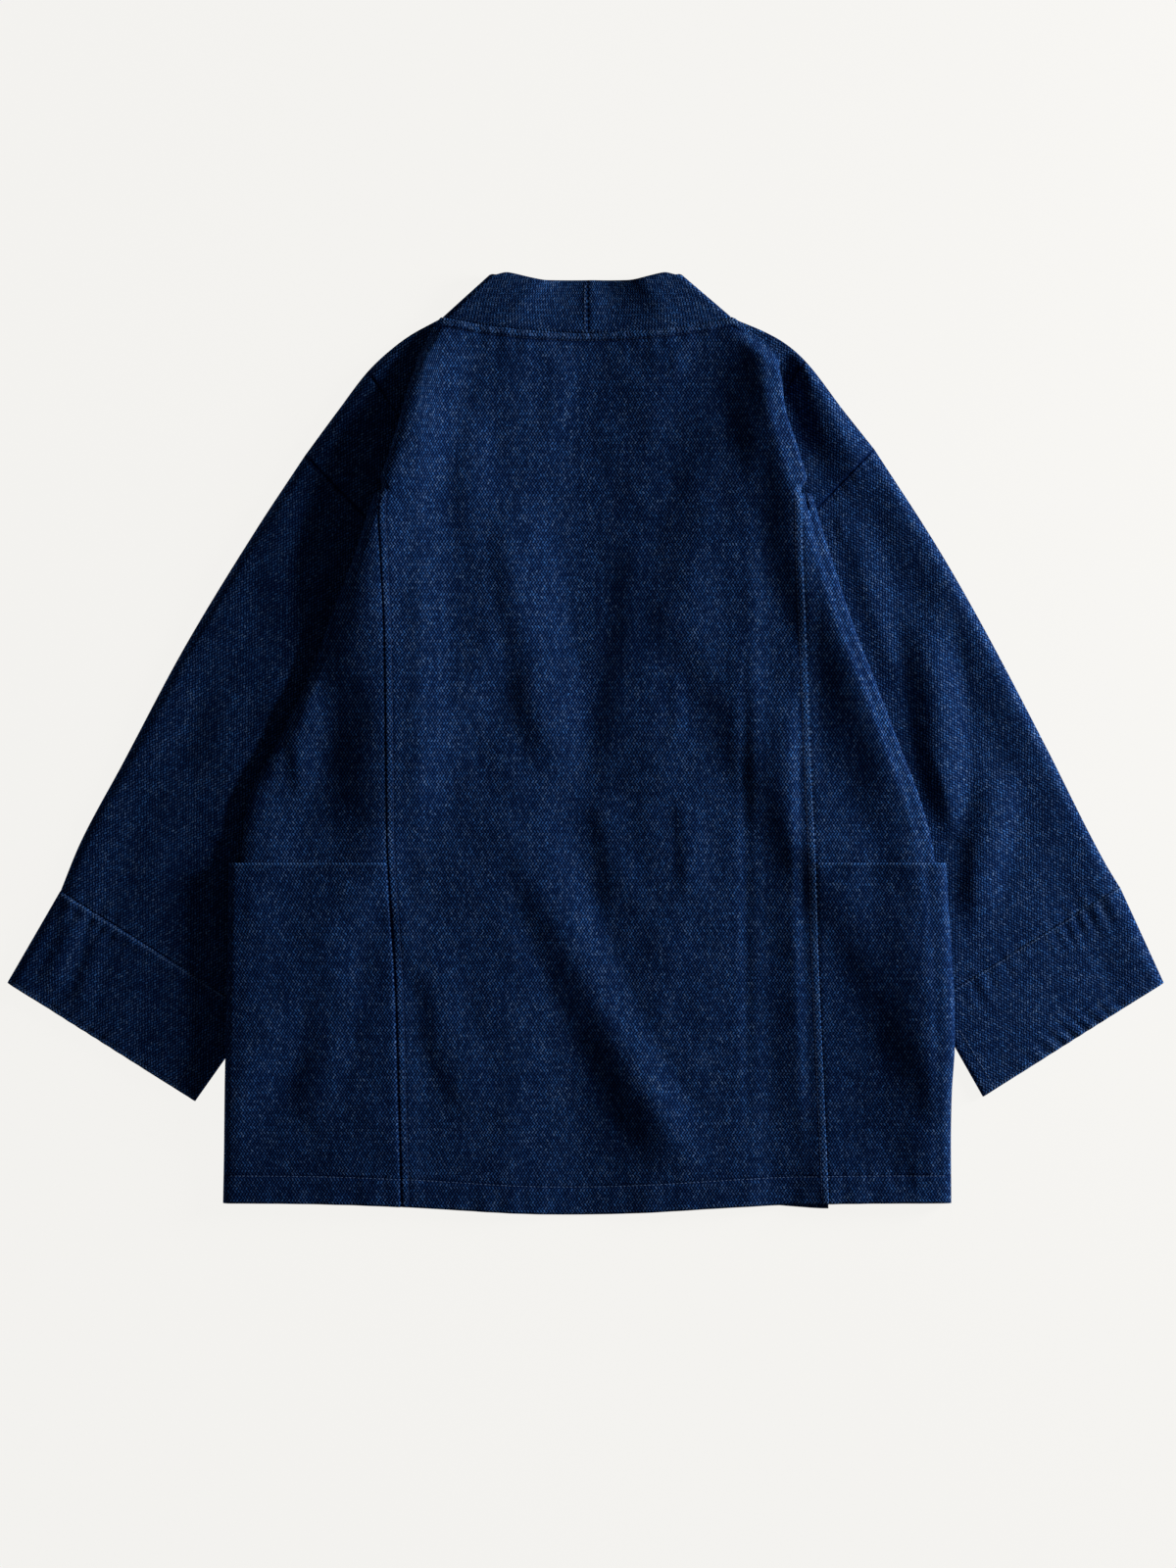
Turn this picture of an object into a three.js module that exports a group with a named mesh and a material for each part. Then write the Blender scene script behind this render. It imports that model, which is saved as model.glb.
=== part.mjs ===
// A short haori of heavy indigo cloth, laid face down on a flat surface with its sleeves drawn down.
//
// The garment lies in the XY plane with +Y towards the collar and +Z up, so its back is on top.
// The lowest level is made of the two flattened sleeves with their cuffs and the shoulder pieces above them.
// The body lies on top of that as a flattened tube: narrow fronts, side panels that turn round the side
// edges, wrapped side pockets and the wide centre back panel, which laps over the sleeves in a soft pleat.
// All sizes are in millimetres.

import * as THREE from 'three';

// Cloth
const CLOTH = 1.5;
const CUFF_CLOTH = 2;
const BAND_CLOTH = 3;
const SEAM_GAP = 0.3;
const LAYER_AIR = 1;
const SLEEVE_AIR = 0.6;
const HALF = CLOTH / 2;

// The front bands hang straight down from the neck and leave the front open between them
const BAND_INNER = 75;
const BAND_OUTER = 134;

// Neck seam, collar and hem lines
const NECK_CENTRE_Y = 351.3;
const NECK_HALF = 126;
const NECK_RISE = 12;
const HEM_SIDE_Y = -394;
const HEM_SAG = 10.5;
const HEM_SAG_CENTRE_X = -10;
const HEM_SAG_REACH = 140;

// Where the long back seams come out of the pleat, and the fronts' own upper ends
const APEX_Y = 212;
const FRONT_TOP_Y = 250;

// Side pockets
const POCKET_TOP_Y = -103;
const POCKET_STEP = CLOTH + 0.8;

// What the body rests on where a sleeve lies below it
const SLEEVE_HEIGHT = 4.4;
const SLEEVE_LIFT = SLEEVE_HEIGHT + 0.8;
const SHOULDER_PIECE_FOOT = 262;
const LAP_RAMP = { start: -62, end: -16 };
const LAP_END = { clear: 300, full: 258 };
const OVER_BAND = BAND_CLOTH + 1.6;
const OVER_FRONT = CLOTH + LAYER_AIR;
const OVER_SHOULDER = SLEEVE_HEIGHT + 0.6;
const LAYER_REST = CLOTH + 0.5;

// The soft turn at the upper side edges of the centre back panel, and the lowest it comes down to
const PLEAT_TURN = 6;
const PLEAT_START = 2.2 * PLEAT_TURN;
const PLEAT_FLOOR = OVER_SHOULDER + HALF;

// The hem lies flatter than the folds above it
const HEM_CALM = 0.45;

// The side edges of the body, as distances out from the middle. seam is the long panel seam on the
// back, edge is the folded side edge, roll is how far the cloth puffs up beside that edge.
const BODY_LEFT = [
  { y: 332, seam: 141, edge: 143, roll: 4.5 },
  { y: 285, seam: 152, edge: 155.5, roll: 7 },
  { y: 250, seam: 162, edge: 165.5, roll: 8 },
  { y: 220, seam: 172, edge: 176, roll: 8 },
  { y: 205, seam: 175.2, edge: 181.5, roll: 7.5 },
  { y: 160, seam: 174, edge: 196, roll: 7 },
  { y: 100, seam: 171.5, edge: 219, roll: 6.5 },
  { y: 50, seam: 170.5, edge: 238, roll: 6 },
  { y: 0, seam: 170, edge: 262, roll: 5.5 },
  { y: -45, seam: 169.7, edge: 286, roll: 5 },
  { y: -90, seam: 169.3, edge: 293, roll: 4 },
  { y: -200, seam: 162.5, edge: 299, roll: 3.5 },
  { y: -300, seam: 159.5, edge: 303, roll: 3 },
  { y: -396, seam: 156.7, edge: 306.5, roll: 1.5 },
];
const BODY_RIGHT = [
  { y: 332, seam: 164, edge: 166, roll: 5 },
  { y: 285, seam: 167, edge: 170, roll: 8.5 },
  { y: 250, seam: 177, edge: 181, roll: 9 },
  { y: 215, seam: 182.8, edge: 191.5, roll: 8.5 },
  { y: 160, seam: 184.5, edge: 208.5, roll: 8 },
  { y: 100, seam: 187.5, edge: 228, roll: 7.5 },
  { y: 50, seam: 189.5, edge: 247.5, roll: 7 },
  { y: 0, seam: 191.5, edge: 266.5, roll: 6 },
  { y: -45, seam: 193.5, edge: 284, roll: 5 },
  { y: -90, seam: 195.8, edge: 296, roll: 4 },
  { y: -200, seam: 199.5, edge: 305, roll: 4 },
  { y: -300, seam: 203.8, edge: 307.5, roll: 3.5 },
  { y: -396, seam: 208, edge: 309, roll: 1.5 },
];

// The outer side edges of the pockets
const POCKET_LEFT = [
  { y: -103, edge: 304 },
  { y: -200, edge: 305.5 },
  { y: -300, edge: 307.5 },
  { y: -396, edge: 309.5 },
];
const POCKET_RIGHT = [
  { y: -103, edge: 307 },
  { y: -160, edge: 310.5 },
  { y: -215, edge: 313.5 },
  { y: -261, edge: 314.3 },
  { y: -300, edge: 312 },
  { y: -396, edge: 312.3 },
];

// Each side's own numbers, as distances out from the middle and heights up the garment.
// shoulder runs from the neck to the sleeve seam, and sleeve from there to the cuff seam.
const SIDES = {
  left: {
    sign: -1,
    frontHem: [-395, -394.5],
    rollReach: 8,
    body: BODY_LEFT,
    pocket: POCKET_LEFT,
    ear: { x: 80, y: 401 },
    neckPoint: { x: 124, y: 362.5 },
    shoulder: [[125.8, 361.2], [149, 348.5], [163, 338.5], [184.5, 318.8], [212, 283], [240, 244.9]],
    panelSeamShare: 0.455,
    panelSeamEnd: [140, 248],
    armholeEnd: [99.3, 103.5],
    sleeve: [[240, 244.9], [281, 182.7], [342.4, 81.9], [396.1, -18.9], [432, -86.1], [449.2, -128.1]],
    cuffSeamEnd: [283, -233.1],
    cuffOuter: [494.3, -206.2],
    cuffInner: [335, -306.8],
  },
  right: {
    sign: 1,
    frontHem: [-395, -399],
    rollReach: 15,
    body: BODY_RIGHT,
    pocket: POCKET_RIGHT,
    ear: { x: 80, y: 401.4 },
    neckPoint: { x: 126, y: 363 },
    shoulder: [[127.8, 361.6], [153, 351], [170, 341.5], [186.4, 327.5], [221, 283], [246.7, 250.7]],
    panelSeamShare: 0.42,
    panelSeamEnd: [150, 262],
    armholeEnd: [108, 107],
    sleeve: [[246.7, 250.7], [301.3, 165.9], [339.8, 98.7], [392.7, -2.1], [444, -102.9], [456.6, -123.9]],
    cuffSeamEnd: [296, -223.3],
    cuffOuter: [494.3, -206.2],
    cuffInner: [341, -303],
  },
};

// Soft folds of the back: a crest from one point by way of a second to a third, how far it
// falls away to the west and to the east, and its height.
const BACK_FOLDS = [
  { from: [-150, 430], via: [-178, 150], to: [-168, -150], west: 50, east: 74, height: 10 },
  { from: [-148, 210], via: [-144, 90], to: [-132, -50], west: 60, east: 44, height: 3 },
  { from: [-66, 230], via: [-48, 90], to: [-18, -60], west: 28, east: 40, height: 5 },
  { from: [48, 190], via: [38, 75], to: [12, -50], west: 24, east: 80, height: 2.5 },
  { from: [176, 430], via: [176, 170], to: [184, -80], west: 60, east: 24, height: 3.2 },
  { from: [-52, -50], via: [18, -240], to: [106, -385], west: 36, east: 34, height: 6.5 },
  { from: [-158, -125], via: [-140, -190], to: [-108, -246], west: 20, east: 32, height: 2 },
  { from: [-130, -215], via: [-118, -262], to: [-92, -330], west: 22, east: 30, height: 2 },
  { from: [12, -40], via: [20, -90], to: [28, -160], west: 16, east: 26, height: 2 },
  { from: [300, -110], via: [300, -250], to: [296, -385], west: 86, east: 14, height: 4.2 },
  { from: [-206, -150], via: [-220, -246], to: [-236, -340], west: 26, east: 26, height: 2.5 },
  { from: [-236, 50], via: [-236, 10], to: [-244, -70], west: 20, east: 26, height: 2 },
  { from: [172, 60], via: [176, -120], to: [186, -420], west: 36, east: 10, height: 3.4 },
];

// Soft folds of the upper sleeve layers
const SLEEVE_FOLDS = [
  { from: [-196, 200], via: [-246, 30], to: [-312, -160], west: 84, east: 14, height: 5.2 },
  { from: [228, 236], via: [246, 99], to: [266, 40], west: 26, east: 24, height: 2 },
  { from: [282, 134], via: [303, 10], to: [300, -94], west: 28, east: 28, height: 6.5 },
  { from: [348, -8], via: [341, -90], to: [320, -168], west: 26, east: 28, height: 4.5 },
  { from: [-248, 222], via: [-257, 165], to: [-272, 92], west: 24, east: 18, height: 2 },
  { from: [-280, 138], via: [-305, 48], to: [-323, -42], west: 26, east: 26, height: 1.5 },
  { from: [-341, 4], via: [-363, -86], to: [-377, -150], west: 24, east: 24, height: 1 },
];

// How far a sleeve puffs up along its outer edge: it rises from the edge to full and falls away inwards
const PUFF = { height: 4.2, full: 6, reach: 46 };

// How finely each piece is divided
const FOLD_STEPS = 12;
const TURN_STEPS = 4;
const ROWS = { shoulder: 6, middle: 9, pocket: 8 };
const BACK = { across: 9 };
const SIDE_PANEL = { over: 7, under: 4 };
const SLEEVE = { over: 15, under: 4, along: 13 };
const CUFF = { over: 10, under: 4, along: 2 };
const SHOULDER = { over: 6, under: 4, along: 3 };
const FRONT = { across: 3, topRows: 2 };
const BAND = { across: 3, backRows: 6, turnRows: 4, topRows: 4 };

const smooth = (start, end, value) => THREE.MathUtils.smoothstep((value - start) / (end - start), 0, 1);
const mix = THREE.MathUtils.lerp;
const steps = (count) => Array.from({ length: count + 1 }, (_, i) => i / count);
const mixPoint = (a, b, share) => [mix(a[0], b[0], share), mix(a[1], b[1], share)];
const distance = (a, b) => Math.hypot(b[0] - a[0], b[1] - a[1]);

// Reads a named column of a table at a height y, along a smooth curve through its rows.
function column(table, name, y) {
  const last = table.length - 1;
  if (y >= table[0].y) return table[0][name];
  if (y <= table[last].y) return table[last][name];
  let i = 0;
  while (y < table[i + 1].y) i += 1;
  const slope = (p, q) => (q[name] - p[name]) / (q.y - p.y);
  const chord = slope(table[i], table[i + 1]);
  const slopeIn = i > 0 ? (slope(table[i - 1], table[i]) + chord) / 2 : chord;
  const slopeOut = i + 2 <= last ? (chord + slope(table[i + 1], table[i + 2])) / 2 : chord;
  const span = table[i + 1].y - table[i].y;
  const t = (y - table[i].y) / span;
  return (
    table[i][name] * (1 + 2 * t) * (1 - t) ** 2 +
    slopeIn * span * t * (1 - t) ** 2 +
    table[i + 1][name] * t * t * (3 - 2 * t) +
    slopeOut * span * t * t * (t - 1)
  );
}

const curveOf = (points) => {
  const curve = new THREE.CatmullRomCurve3(points.map(([x, y]) => new THREE.Vector3(x, y, 0)));
  return (share) => {
    const p = curve.getPointAt(THREE.MathUtils.clamp(share, 0, 1));
    return [p.x, p.y];
  };
};

const neckLine = (x) => NECK_CENTRE_Y + NECK_RISE * Math.min(1, (x / NECK_HALF) ** 2);
const hemLine = (x) =>
  HEM_SIDE_Y - HEM_SAG * Math.exp(-0.5 * ((x - HEM_SAG_CENTRE_X) / HEM_SAG_REACH * Math.SQRT2) ** 2);

// The nearest place to a point on a line of straight stretches: how far off it is, the side of it
// that the point is on, the sideways offset, and the place along the line from 0 to 1.
function nearestOn(line, x, y) {
  let best = { gap: Infinity };
  for (let i = 0; i + 1 < line.length; i += 1) {
    const [a, b] = [line[i], line[i + 1]];
    const along = ((x - a[0]) * (b[0] - a[0]) + (y - a[1]) * (b[1] - a[1])) / distance(a, b) ** 2;
    const share = THREE.MathUtils.clamp(along, 0, 1);
    const foot = mixPoint(a, b, share);
    const gap = distance(foot, [x, y]);
    const cross = (b[0] - a[0]) * (y - a[1]) - (b[1] - a[1]) * (x - a[0]);
    if (gap < best.gap) {
      best = { gap, past: cross > 0, east: x > foot[0], along: (i + share) / (line.length - 1) };
    }
  }
  return best;
}

// The crest of a fold, as a line that passes through its middle point.
function crestLine({ from, via, to }) {
  return steps(FOLD_STEPS).map((t) => {
    const [a, b, c] = [(1 - t) ** 2, 2 * t * (1 - t), t * t];
    return [0, 1].map((k) => a * from[k] + b * (2 * via[k] - (from[k] + to[k]) / 2) + c * to[k]);
  });
}

for (const fold of [...BACK_FOLDS, ...SLEEVE_FOLDS]) fold.crest = crestLine(fold);

// Height of the soft folds of a table at a point.
function foldHeight(folds, x, y) {
  let height = 0;
  for (const fold of folds) {
    const { gap, east, along } = nearestOn(fold.crest, x, y);
    const share = Math.min(1, gap / (east ? fold.east : fold.west));
    const ends = smooth(0, 0.3, along) * smooth(1, 0.7, along);
    height += fold.height * ends * (1 - share * share) ** 2;
  }
  return height;
}

// How far a point lies past the inner line of the shoulder and sleeve below it: 0 well clear of it,
// 1 over them.
function overSleeve(side, out, y) {
  const shoulderFoot = [BAND_OUTER, SHOULDER_PIECE_FOOT];
  const line = [[BAND_OUTER, NECK_CENTRE_Y], shoulderFoot, side.armholeEnd, side.cuffSeamEnd, side.cuffInner];
  const { gap, past } = nearestOn(line, out, y);
  return smooth(LAP_RAMP.start, LAP_RAMP.end, past ? gap : -gap);
}

// How far a sleeve lifts the lower layer of the body, which ends below the shoulder pieces.
const lift = (side, out, y) =>
  SLEEVE_LIFT * overSleeve(side, out, y) * smooth(LAP_END.clear, LAP_END.full, y);

// Middle height of the body's lower layer, and of the side panel's lower layer, which is above the pocket's.
const pocketShare = (y) => smooth(POCKET_TOP_Y + 34, POCKET_TOP_Y + 6, y);
const underHeight = (side, out, y) => HALF + lift(side, out, y);
const sideUnderHeight = (side, out, y) => underHeight(side, out, y) + POCKET_STEP * pocketShare(y);

// Middle height of the body's upper layer without its folds: it lies on the bands, on the fronts
// and side panels, and on the shoulder pieces, and sinks to the surface between the bands.
function upperBase(side, out, y) {
  const lifted = lift(side, out, y);
  const overBand = smooth(0, BAND_INNER - 4, out) * smooth(BAND_OUTER + 40, BAND_OUTER + 4, out);
  const overFront = smooth(BAND_OUTER - 40, BAND_OUTER - 4, out);
  const seam = column(side.body, 'seam', y);
  const overPocket = pocketShare(y) * smooth(seam - 30, seam - 4, out) * POCKET_STEP;
  const stack = [
    overBand * (OVER_BAND + lifted),
    overFront * (OVER_FRONT + lifted + overPocket),
    overSleeve(side, out, y) * OVER_SHOULDER,
  ];
  return HALF + stack.reduce((sum, h) => sum + h ** 4, 0) ** 0.25;
}

const rollShare = (side, inside) =>
  smooth(-2, side.rollReach, inside) * smooth(58, side.rollReach, inside);

function upperHeight(side, out, y) {
  const edge = column(side.body, 'edge', y);
  const roll = column(side.body, 'roll', y) * rollShare(side, edge - out);
  const hemCalm = mix(HEM_CALM, 1, smooth(HEM_SIDE_Y, HEM_SIDE_Y + 40, y));
  const neckCalm = smooth(NECK_CENTRE_Y + 6, NECK_CENTRE_Y - 30, y);
  const folds = foldHeight(BACK_FOLDS, side.sign * out, y);
  return upperBase(side, out, y) + roll * hemCalm + folds * hemCalm * neckCalm;
}

// Closes a grid of middle points into a wall of cloth. Each row is a list of points across the
// piece; ring is true where a row closes on itself.
function clothWall(name, rows, thickness, finish, ring = false) {
  const [nRows, nCols] = [rows.length, rows[0].length];
  const point = (i, j) => rows[i][ring ? (j + nCols) % nCols : j];
  const positions = [];
  const across = new THREE.Vector3();
  const along = new THREE.Vector3();
  for (const face of [1, -1]) {
    for (let i = 0; i < nRows; i += 1) {
      for (let j = 0; j < nCols; j += 1) {
        const [left, right] = ring ? [j - 1, j + 1] : [Math.max(0, j - 1), Math.min(nCols - 1, j + 1)];
        const before = point(i, left).distanceTo(point(i, j)) || 1;
        const after = point(i, right).distanceTo(point(i, j)) || 1;
        across.subVectors(point(i, j), point(i, left)).multiplyScalar(1 / before);
        across.addScaledVector(point(i, right), 1 / after).addScaledVector(point(i, j), -1 / after);
        along.subVectors(point(Math.min(nRows - 1, i + 1), j), point(Math.max(0, i - 1), j));
        const normal = across.clone().cross(along).normalize();
        const p = point(i, j).clone().addScaledVector(normal, face * thickness / 2);
        positions.push(p.x, p.y, p.z);
      }
    }
  }
  const index = [];
  const id = (face, i, j) => (face * nRows + i) * nCols + (ring ? (j + nCols) % nCols : j);
  const quad = (a, b, c, d) => index.push(a, b, c, a, c, d);
  const lastCol = ring ? nCols : nCols - 1;
  for (let i = 0; i + 1 < nRows; i += 1) {
    for (let j = 0; j < lastCol; j += 1) {
      quad(id(0, i, j), id(0, i, j + 1), id(0, i + 1, j + 1), id(0, i + 1, j));
      quad(id(1, i, j), id(1, i + 1, j), id(1, i + 1, j + 1), id(1, i, j + 1));
    }
    if (!ring) {
      quad(id(0, i, 0), id(0, i + 1, 0), id(1, i + 1, 0), id(1, i, 0));
      quad(id(0, i, nCols - 1), id(1, i, nCols - 1), id(1, i + 1, nCols - 1), id(0, i + 1, nCols - 1));
    }
  }
  for (let j = 0; j < lastCol; j += 1) {
    quad(id(0, 0, j), id(1, 0, j), id(1, 0, j + 1), id(0, 0, j + 1));
    quad(id(0, nRows - 1, j), id(0, nRows - 1, j + 1), id(1, nRows - 1, j + 1), id(1, nRows - 1, j));
  }
  if (signedVolume(positions, index) < 0) index.reverse();
  const geometry = new THREE.BufferGeometry();
  geometry.setAttribute('position', new THREE.Float32BufferAttribute(positions, 3));
  geometry.setIndex(index);
  geometry.computeVertexNormals();
  const mesh = new THREE.Mesh(geometry, new THREE.MeshStandardMaterial({ ...finish, metalness: 0 }));
  mesh.name = name;
  return mesh;
}

function signedVolume(positions, index) {
  const corner = (k) => new THREE.Vector3().fromArray(positions, 3 * index[k]);
  let volume = 0;
  for (let k = 0; k < index.length; k += 3) {
    volume += corner(k).dot(corner(k + 1).cross(corner(k + 2))) / 6;
  }
  return volume;
}

const place = (side, [out, y], z) => new THREE.Vector3(side.sign * out, y, z);

// A round turn at a folded edge, from the upper height down to the lower one.
function turn(edge, upper, lower, reach) {
  return steps(TURN_STEPS).map((share) => {
    const angle = Math.PI * share;
    return {
      out: edge - reach + reach * Math.sin(angle),
      z: (upper + lower) / 2 + ((upper - lower) / 2) * Math.cos(angle),
    };
  });
}

// The centre back panel: from the neck and the shoulder pleats down to the hem. Above the side
// panels its own edges turn under, over the sleeves.
function backTop(side, out) {
  const corner = side.body[0];
  if (out <= side.neckPoint.x) return neckLine(out) - SEAM_GAP;
  return mix(neckLine(out) - SEAM_GAP, corner.y, (out - side.neckPoint.x) / (corner.edge - side.neckPoint.x));
}

// The body's rows, the same for the back, the side panels and the pockets that meet along the seams:
// each gives a height up the garment for a point across it.
const middleRows = steps(ROWS.middle).map((s) => () => mix(APEX_Y, POCKET_TOP_Y, s));
const pocketRows = steps(ROWS.pocket).map((s) => (side, out) =>
  mix(POCKET_TOP_Y, hemLine(side.sign * out), s));
const shoulderRows = steps(ROWS.shoulder).map((s) => (side, out) => mix(backTop(side, out), APEX_Y, s));
const lowerRows = [...middleRows, ...pocketRows.slice(1)];

function backEdge(side, y) {
  const pleated = smooth(APEX_Y, APEX_Y + 14, y);
  return mix(column(side.body, 'seam', y), column(side.body, 'edge', y), pleated);
}

function backSection(side, rowY) {
  let rim = 170;
  for (let i = 0; i < 4; i += 1) rim = backEdge(side, rowY(side, rim));
  const rimY = rowY(side, rim);
  const turned = smooth(APEX_Y, APEX_Y + 14, rimY) * smooth(0, 26, backTop(side, rim) - rimY);
  const turnStart = rim - PLEAT_START;
  const height = (out) => {
    const y = rowY(side, out);
    const full = upperHeight(side, out, y);
    const nearSeam = smooth(16, 0, backTop(side, out) - y);
    const shoulder = smooth(side.neckPoint.x - 30, side.neckPoint.x + 8, out) * nearSeam;
    return mix(full, Math.min(full, PLEAT_FLOOR + SEAM_GAP), shoulder);
  };
  const points = steps(BACK.across).map((s) => {
    const out = turnStart * s;
    return place(side, [out, rowY(side, out)], height(out));
  });
  const crest = height(turnStart);
  const under = turn(rim, crest, Math.min(crest, PLEAT_FLOOR), PLEAT_TURN);
  under.forEach((p, k) => {
    const flat = mix(turnStart, rim - SEAM_GAP / 2, (k + 1) / under.length);
    const out = mix(flat, p.out, turned);
    points.push(place(side, [out, rowY(side, Math.max(out, flat))], mix(height(flat), p.z, turned)));
  });
  return points;
}

function backCentre(finish) {
  const rows = [...shoulderRows.slice(0, -1), ...lowerRows].map((rowY) => {
    const left = backSection(SIDES.left, rowY).slice(1).reverse();
    return [...left, ...backSection(SIDES.right, rowY)];
  });
  return clothWall('back_centre', rows, CLOTH, finish);
}

// Rows of a piece that turns round the side edge: from the long back seam over that edge and back
// to the front seam. edgeAt, upperAt and lowerAt give its edge and its two layers' heights.
function wrapped(side, rowLines, inset, edgeAt, upperAt, lowerAt) {
  return rowLines.map((rowY) => {
    const rowHeight = rowY(side, 180);
    const seam = column(side.body, 'seam', rowHeight) + SEAM_GAP / 2 + inset;
    const edge = edgeAt(rowHeight);
    const reach = Math.min(6, (edge - seam) * 0.6);
    const at = (out, heightAt) => place(side, [out, rowY(side, out)], heightAt(out, rowY(side, out)));
    const over = steps(SIDE_PANEL.over).map((s) => at(mix(seam, edge - reach, s), upperAt));
    const under = steps(SIDE_PANEL.under).map((s) => at(mix(edge - reach, seam, s), lowerAt));
    const bend = turn(edge, over[over.length - 1].z, under[0].z, reach).slice(1, -1);
    return [...over, ...bend.map((p) => at(p.out, () => p.z)), ...under];
  });
}

function sidePanel(name, side, finish) {
  const lower = (out, y) => sideUnderHeight(side, out, y);
  const upper = (out, y) => Math.max(upperHeight(side, out, y), lower(out, y) + LAYER_REST);
  const rows = wrapped(side, lowerRows, 0, (y) => column(side.body, 'edge', y), upper, lower);
  return clothWall(name, rows, CLOTH, finish);
}

// A pocket lies round its side panel, one step further out.
function pocket(name, side, finish) {
  const inner = (out, y) => Math.min(out, column(side.body, 'edge', y) - 6);
  const upper = (out, y) => Math.max(
    upperHeight(side, inner(out, y), y),
    sideUnderHeight(side, out, y) + LAYER_REST,
  ) + POCKET_STEP;
  const lower = (out, y) => underHeight(side, out, y);
  const rows = wrapped(side, pocketRows, 2, (y) => column(side.pocket, 'edge', y), upper, lower);
  return clothWall(name, rows, CLOTH, finish);
}

// A flattened tube or turned piece at the lowest level: each row runs from its inner end along the
// lower layer to the outer edge, turns, and comes back along the upper layer.
function flatRow(side, outer, innerLow, innerHigh, thickness, counts, closed) {
  const low = thickness / 2;
  const high = low + thickness + SLEEVE_AIR - 0.2;
  const radius = (high - low) / 2;
  const length = distance(outer, innerLow);
  const reachIn = closed ? radius / length : 0;
  const upper = (p) => {
    const beside = p[1] < POCKET_TOP_Y + 20 ? column(side.pocket, 'edge', p[1]) : 0;
    const edge = Math.max(column(side.body, 'edge', p[1]), beside);
    const clear = p[1] > side.body[0].y ? 0 : smooth(5, 26, p[0] - edge);
    const rim = distance(p, outer);
    const fade = mix(0.5, 1, smooth(-90, 80, p[1]));
    const puff = PUFF.height * smooth(0, PUFF.full, rim) * smooth(PUFF.reach, PUFF.full, rim) * fade;
    return high + clear * (foldHeight(SLEEVE_FOLDS, side.sign * p[0], p[1]) + puff);
  };
  const fromOuter = (inner, share) => mixPoint(outer, inner, share);
  const turnIn = radius / length;
  const points = [];
  for (const s of steps(counts.under)) {
    points.push(place(side, fromOuter(innerLow, mix(1 - reachIn, turnIn, s)), low));
  }
  const rimAngles = [0.25, 0.5, 0.75];
  for (const a of rimAngles) {
    const p = fromOuter(innerLow, turnIn * (1 - Math.sin(Math.PI * a)));
    points.push(place(side, p, low + radius - radius * Math.cos(Math.PI * a)));
  }
  for (const s of steps(counts.over)) {
    const p = fromOuter(innerHigh, mix(turnIn, 1 - reachIn, s));
    points.push(place(side, p, upper(p)));
  }
  if (closed) {
    for (const a of rimAngles) {
      const p = fromOuter(innerLow, 1 - reachIn * (1 - Math.sin(Math.PI * a)));
      points.push(place(side, p, low + radius + radius * Math.cos(Math.PI * a)));
    }
  }
  return points;
}

function sleeve(name, side, finish) {
  const outer = curveOf(side.sleeve);
  const margin = SEAM_GAP / 2 / distance(side.armholeEnd, side.cuffSeamEnd);
  const rows = steps(SLEEVE.along).map((s) => {
    const share = mix(margin, 1 - margin, s);
    const inner = mixPoint(side.armholeEnd, side.cuffSeamEnd, share);
    return flatRow(side, outer(share), inner, inner, CLOTH, SLEEVE, true);
  });
  return clothWall(name, rows, CLOTH, finish, true);
}

function cuff(name, side, finish) {
  const seamOuter = side.sleeve[side.sleeve.length - 1];
  const margin = SEAM_GAP / 2 / distance(seamOuter, side.cuffOuter);
  const rows = steps(CUFF.along).map((s) => {
    const share = mix(margin, 1, s);
    const outer = mixPoint(seamOuter, side.cuffOuter, share);
    const inner = mixPoint(side.cuffSeamEnd, side.cuffInner, share);
    return flatRow(side, outer, inner, inner, CUFF_CLOTH, CUFF, true);
  });
  return clothWall(name, rows, CUFF_CLOTH, finish, true);
}

// The shoulder parts of the centre panel and of the side panel, which come out of the pleat.
function shoulderPiece(name, side, finish, start, end) {
  const edge = curveOf(side.shoulder);
  const split = side.panelSeamShare;
  const rows = steps(SHOULDER.along).map((s) => {
    const share = mix(start, end, s);
    const outer = edge(share);
    const inner = share < split
      ? mixPoint([BAND_OUTER + 1.2, SHOULDER_PIECE_FOOT], side.panelSeamEnd, share / split)
      : mixPoint(side.panelSeamEnd, side.armholeEnd, (share - split) / (1 - split));
    const innerHigh = share < split ? mixPoint(outer, inner, 0.6) : inner;
    return flatRow(side, outer, inner, innerHigh, CLOTH, SHOULDER, false);
  });
  return clothWall(name, rows, CLOTH, finish);
}

// A front: the narrow strip between the band and the side panel, on the lower side.
const frontHemLine = (side, out) => {
  const seam = column(side.body, 'seam', HEM_SIDE_Y);
  return mix(...side.frontHem, smooth(BAND_OUTER, seam, out));
};
const frontRows = [
  ...steps(FRONT.topRows).slice(0, -1).map((s) => () => mix(FRONT_TOP_Y, APEX_Y, s)),
  ...middleRows.slice(0, -1),
  ...steps(ROWS.pocket).map((s) => (side, out) => mix(POCKET_TOP_Y, frontHemLine(side, out), s)),
];

function frontPanel(name, side, finish) {
  const rows = frontRows.map((rowY) => {
    const y = rowY(side, BAND_OUTER);
    const seam = column(side.body, 'seam', y) - SEAM_GAP / 2;
    const tucked = column(side.body, 'edge', y) - 2 * PLEAT_TURN;
    const outer = Math.min(seam, mix(seam, tucked, smooth(APEX_Y - 2, APEX_Y + 14, y)));
    return steps(FRONT.across).map((u) => {
      const out = mix(BAND_OUTER + SEAM_GAP / 2, outer, u);
      const rise = POCKET_STEP * pocketShare(y) * smooth(seam - 26, seam - 3, out);
      return place(side, [out, rowY(side, out)], underHeight(side, out, y) + rise);
    });
  });
  return clothWall(name, rows, CLOTH, finish);
}

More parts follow.
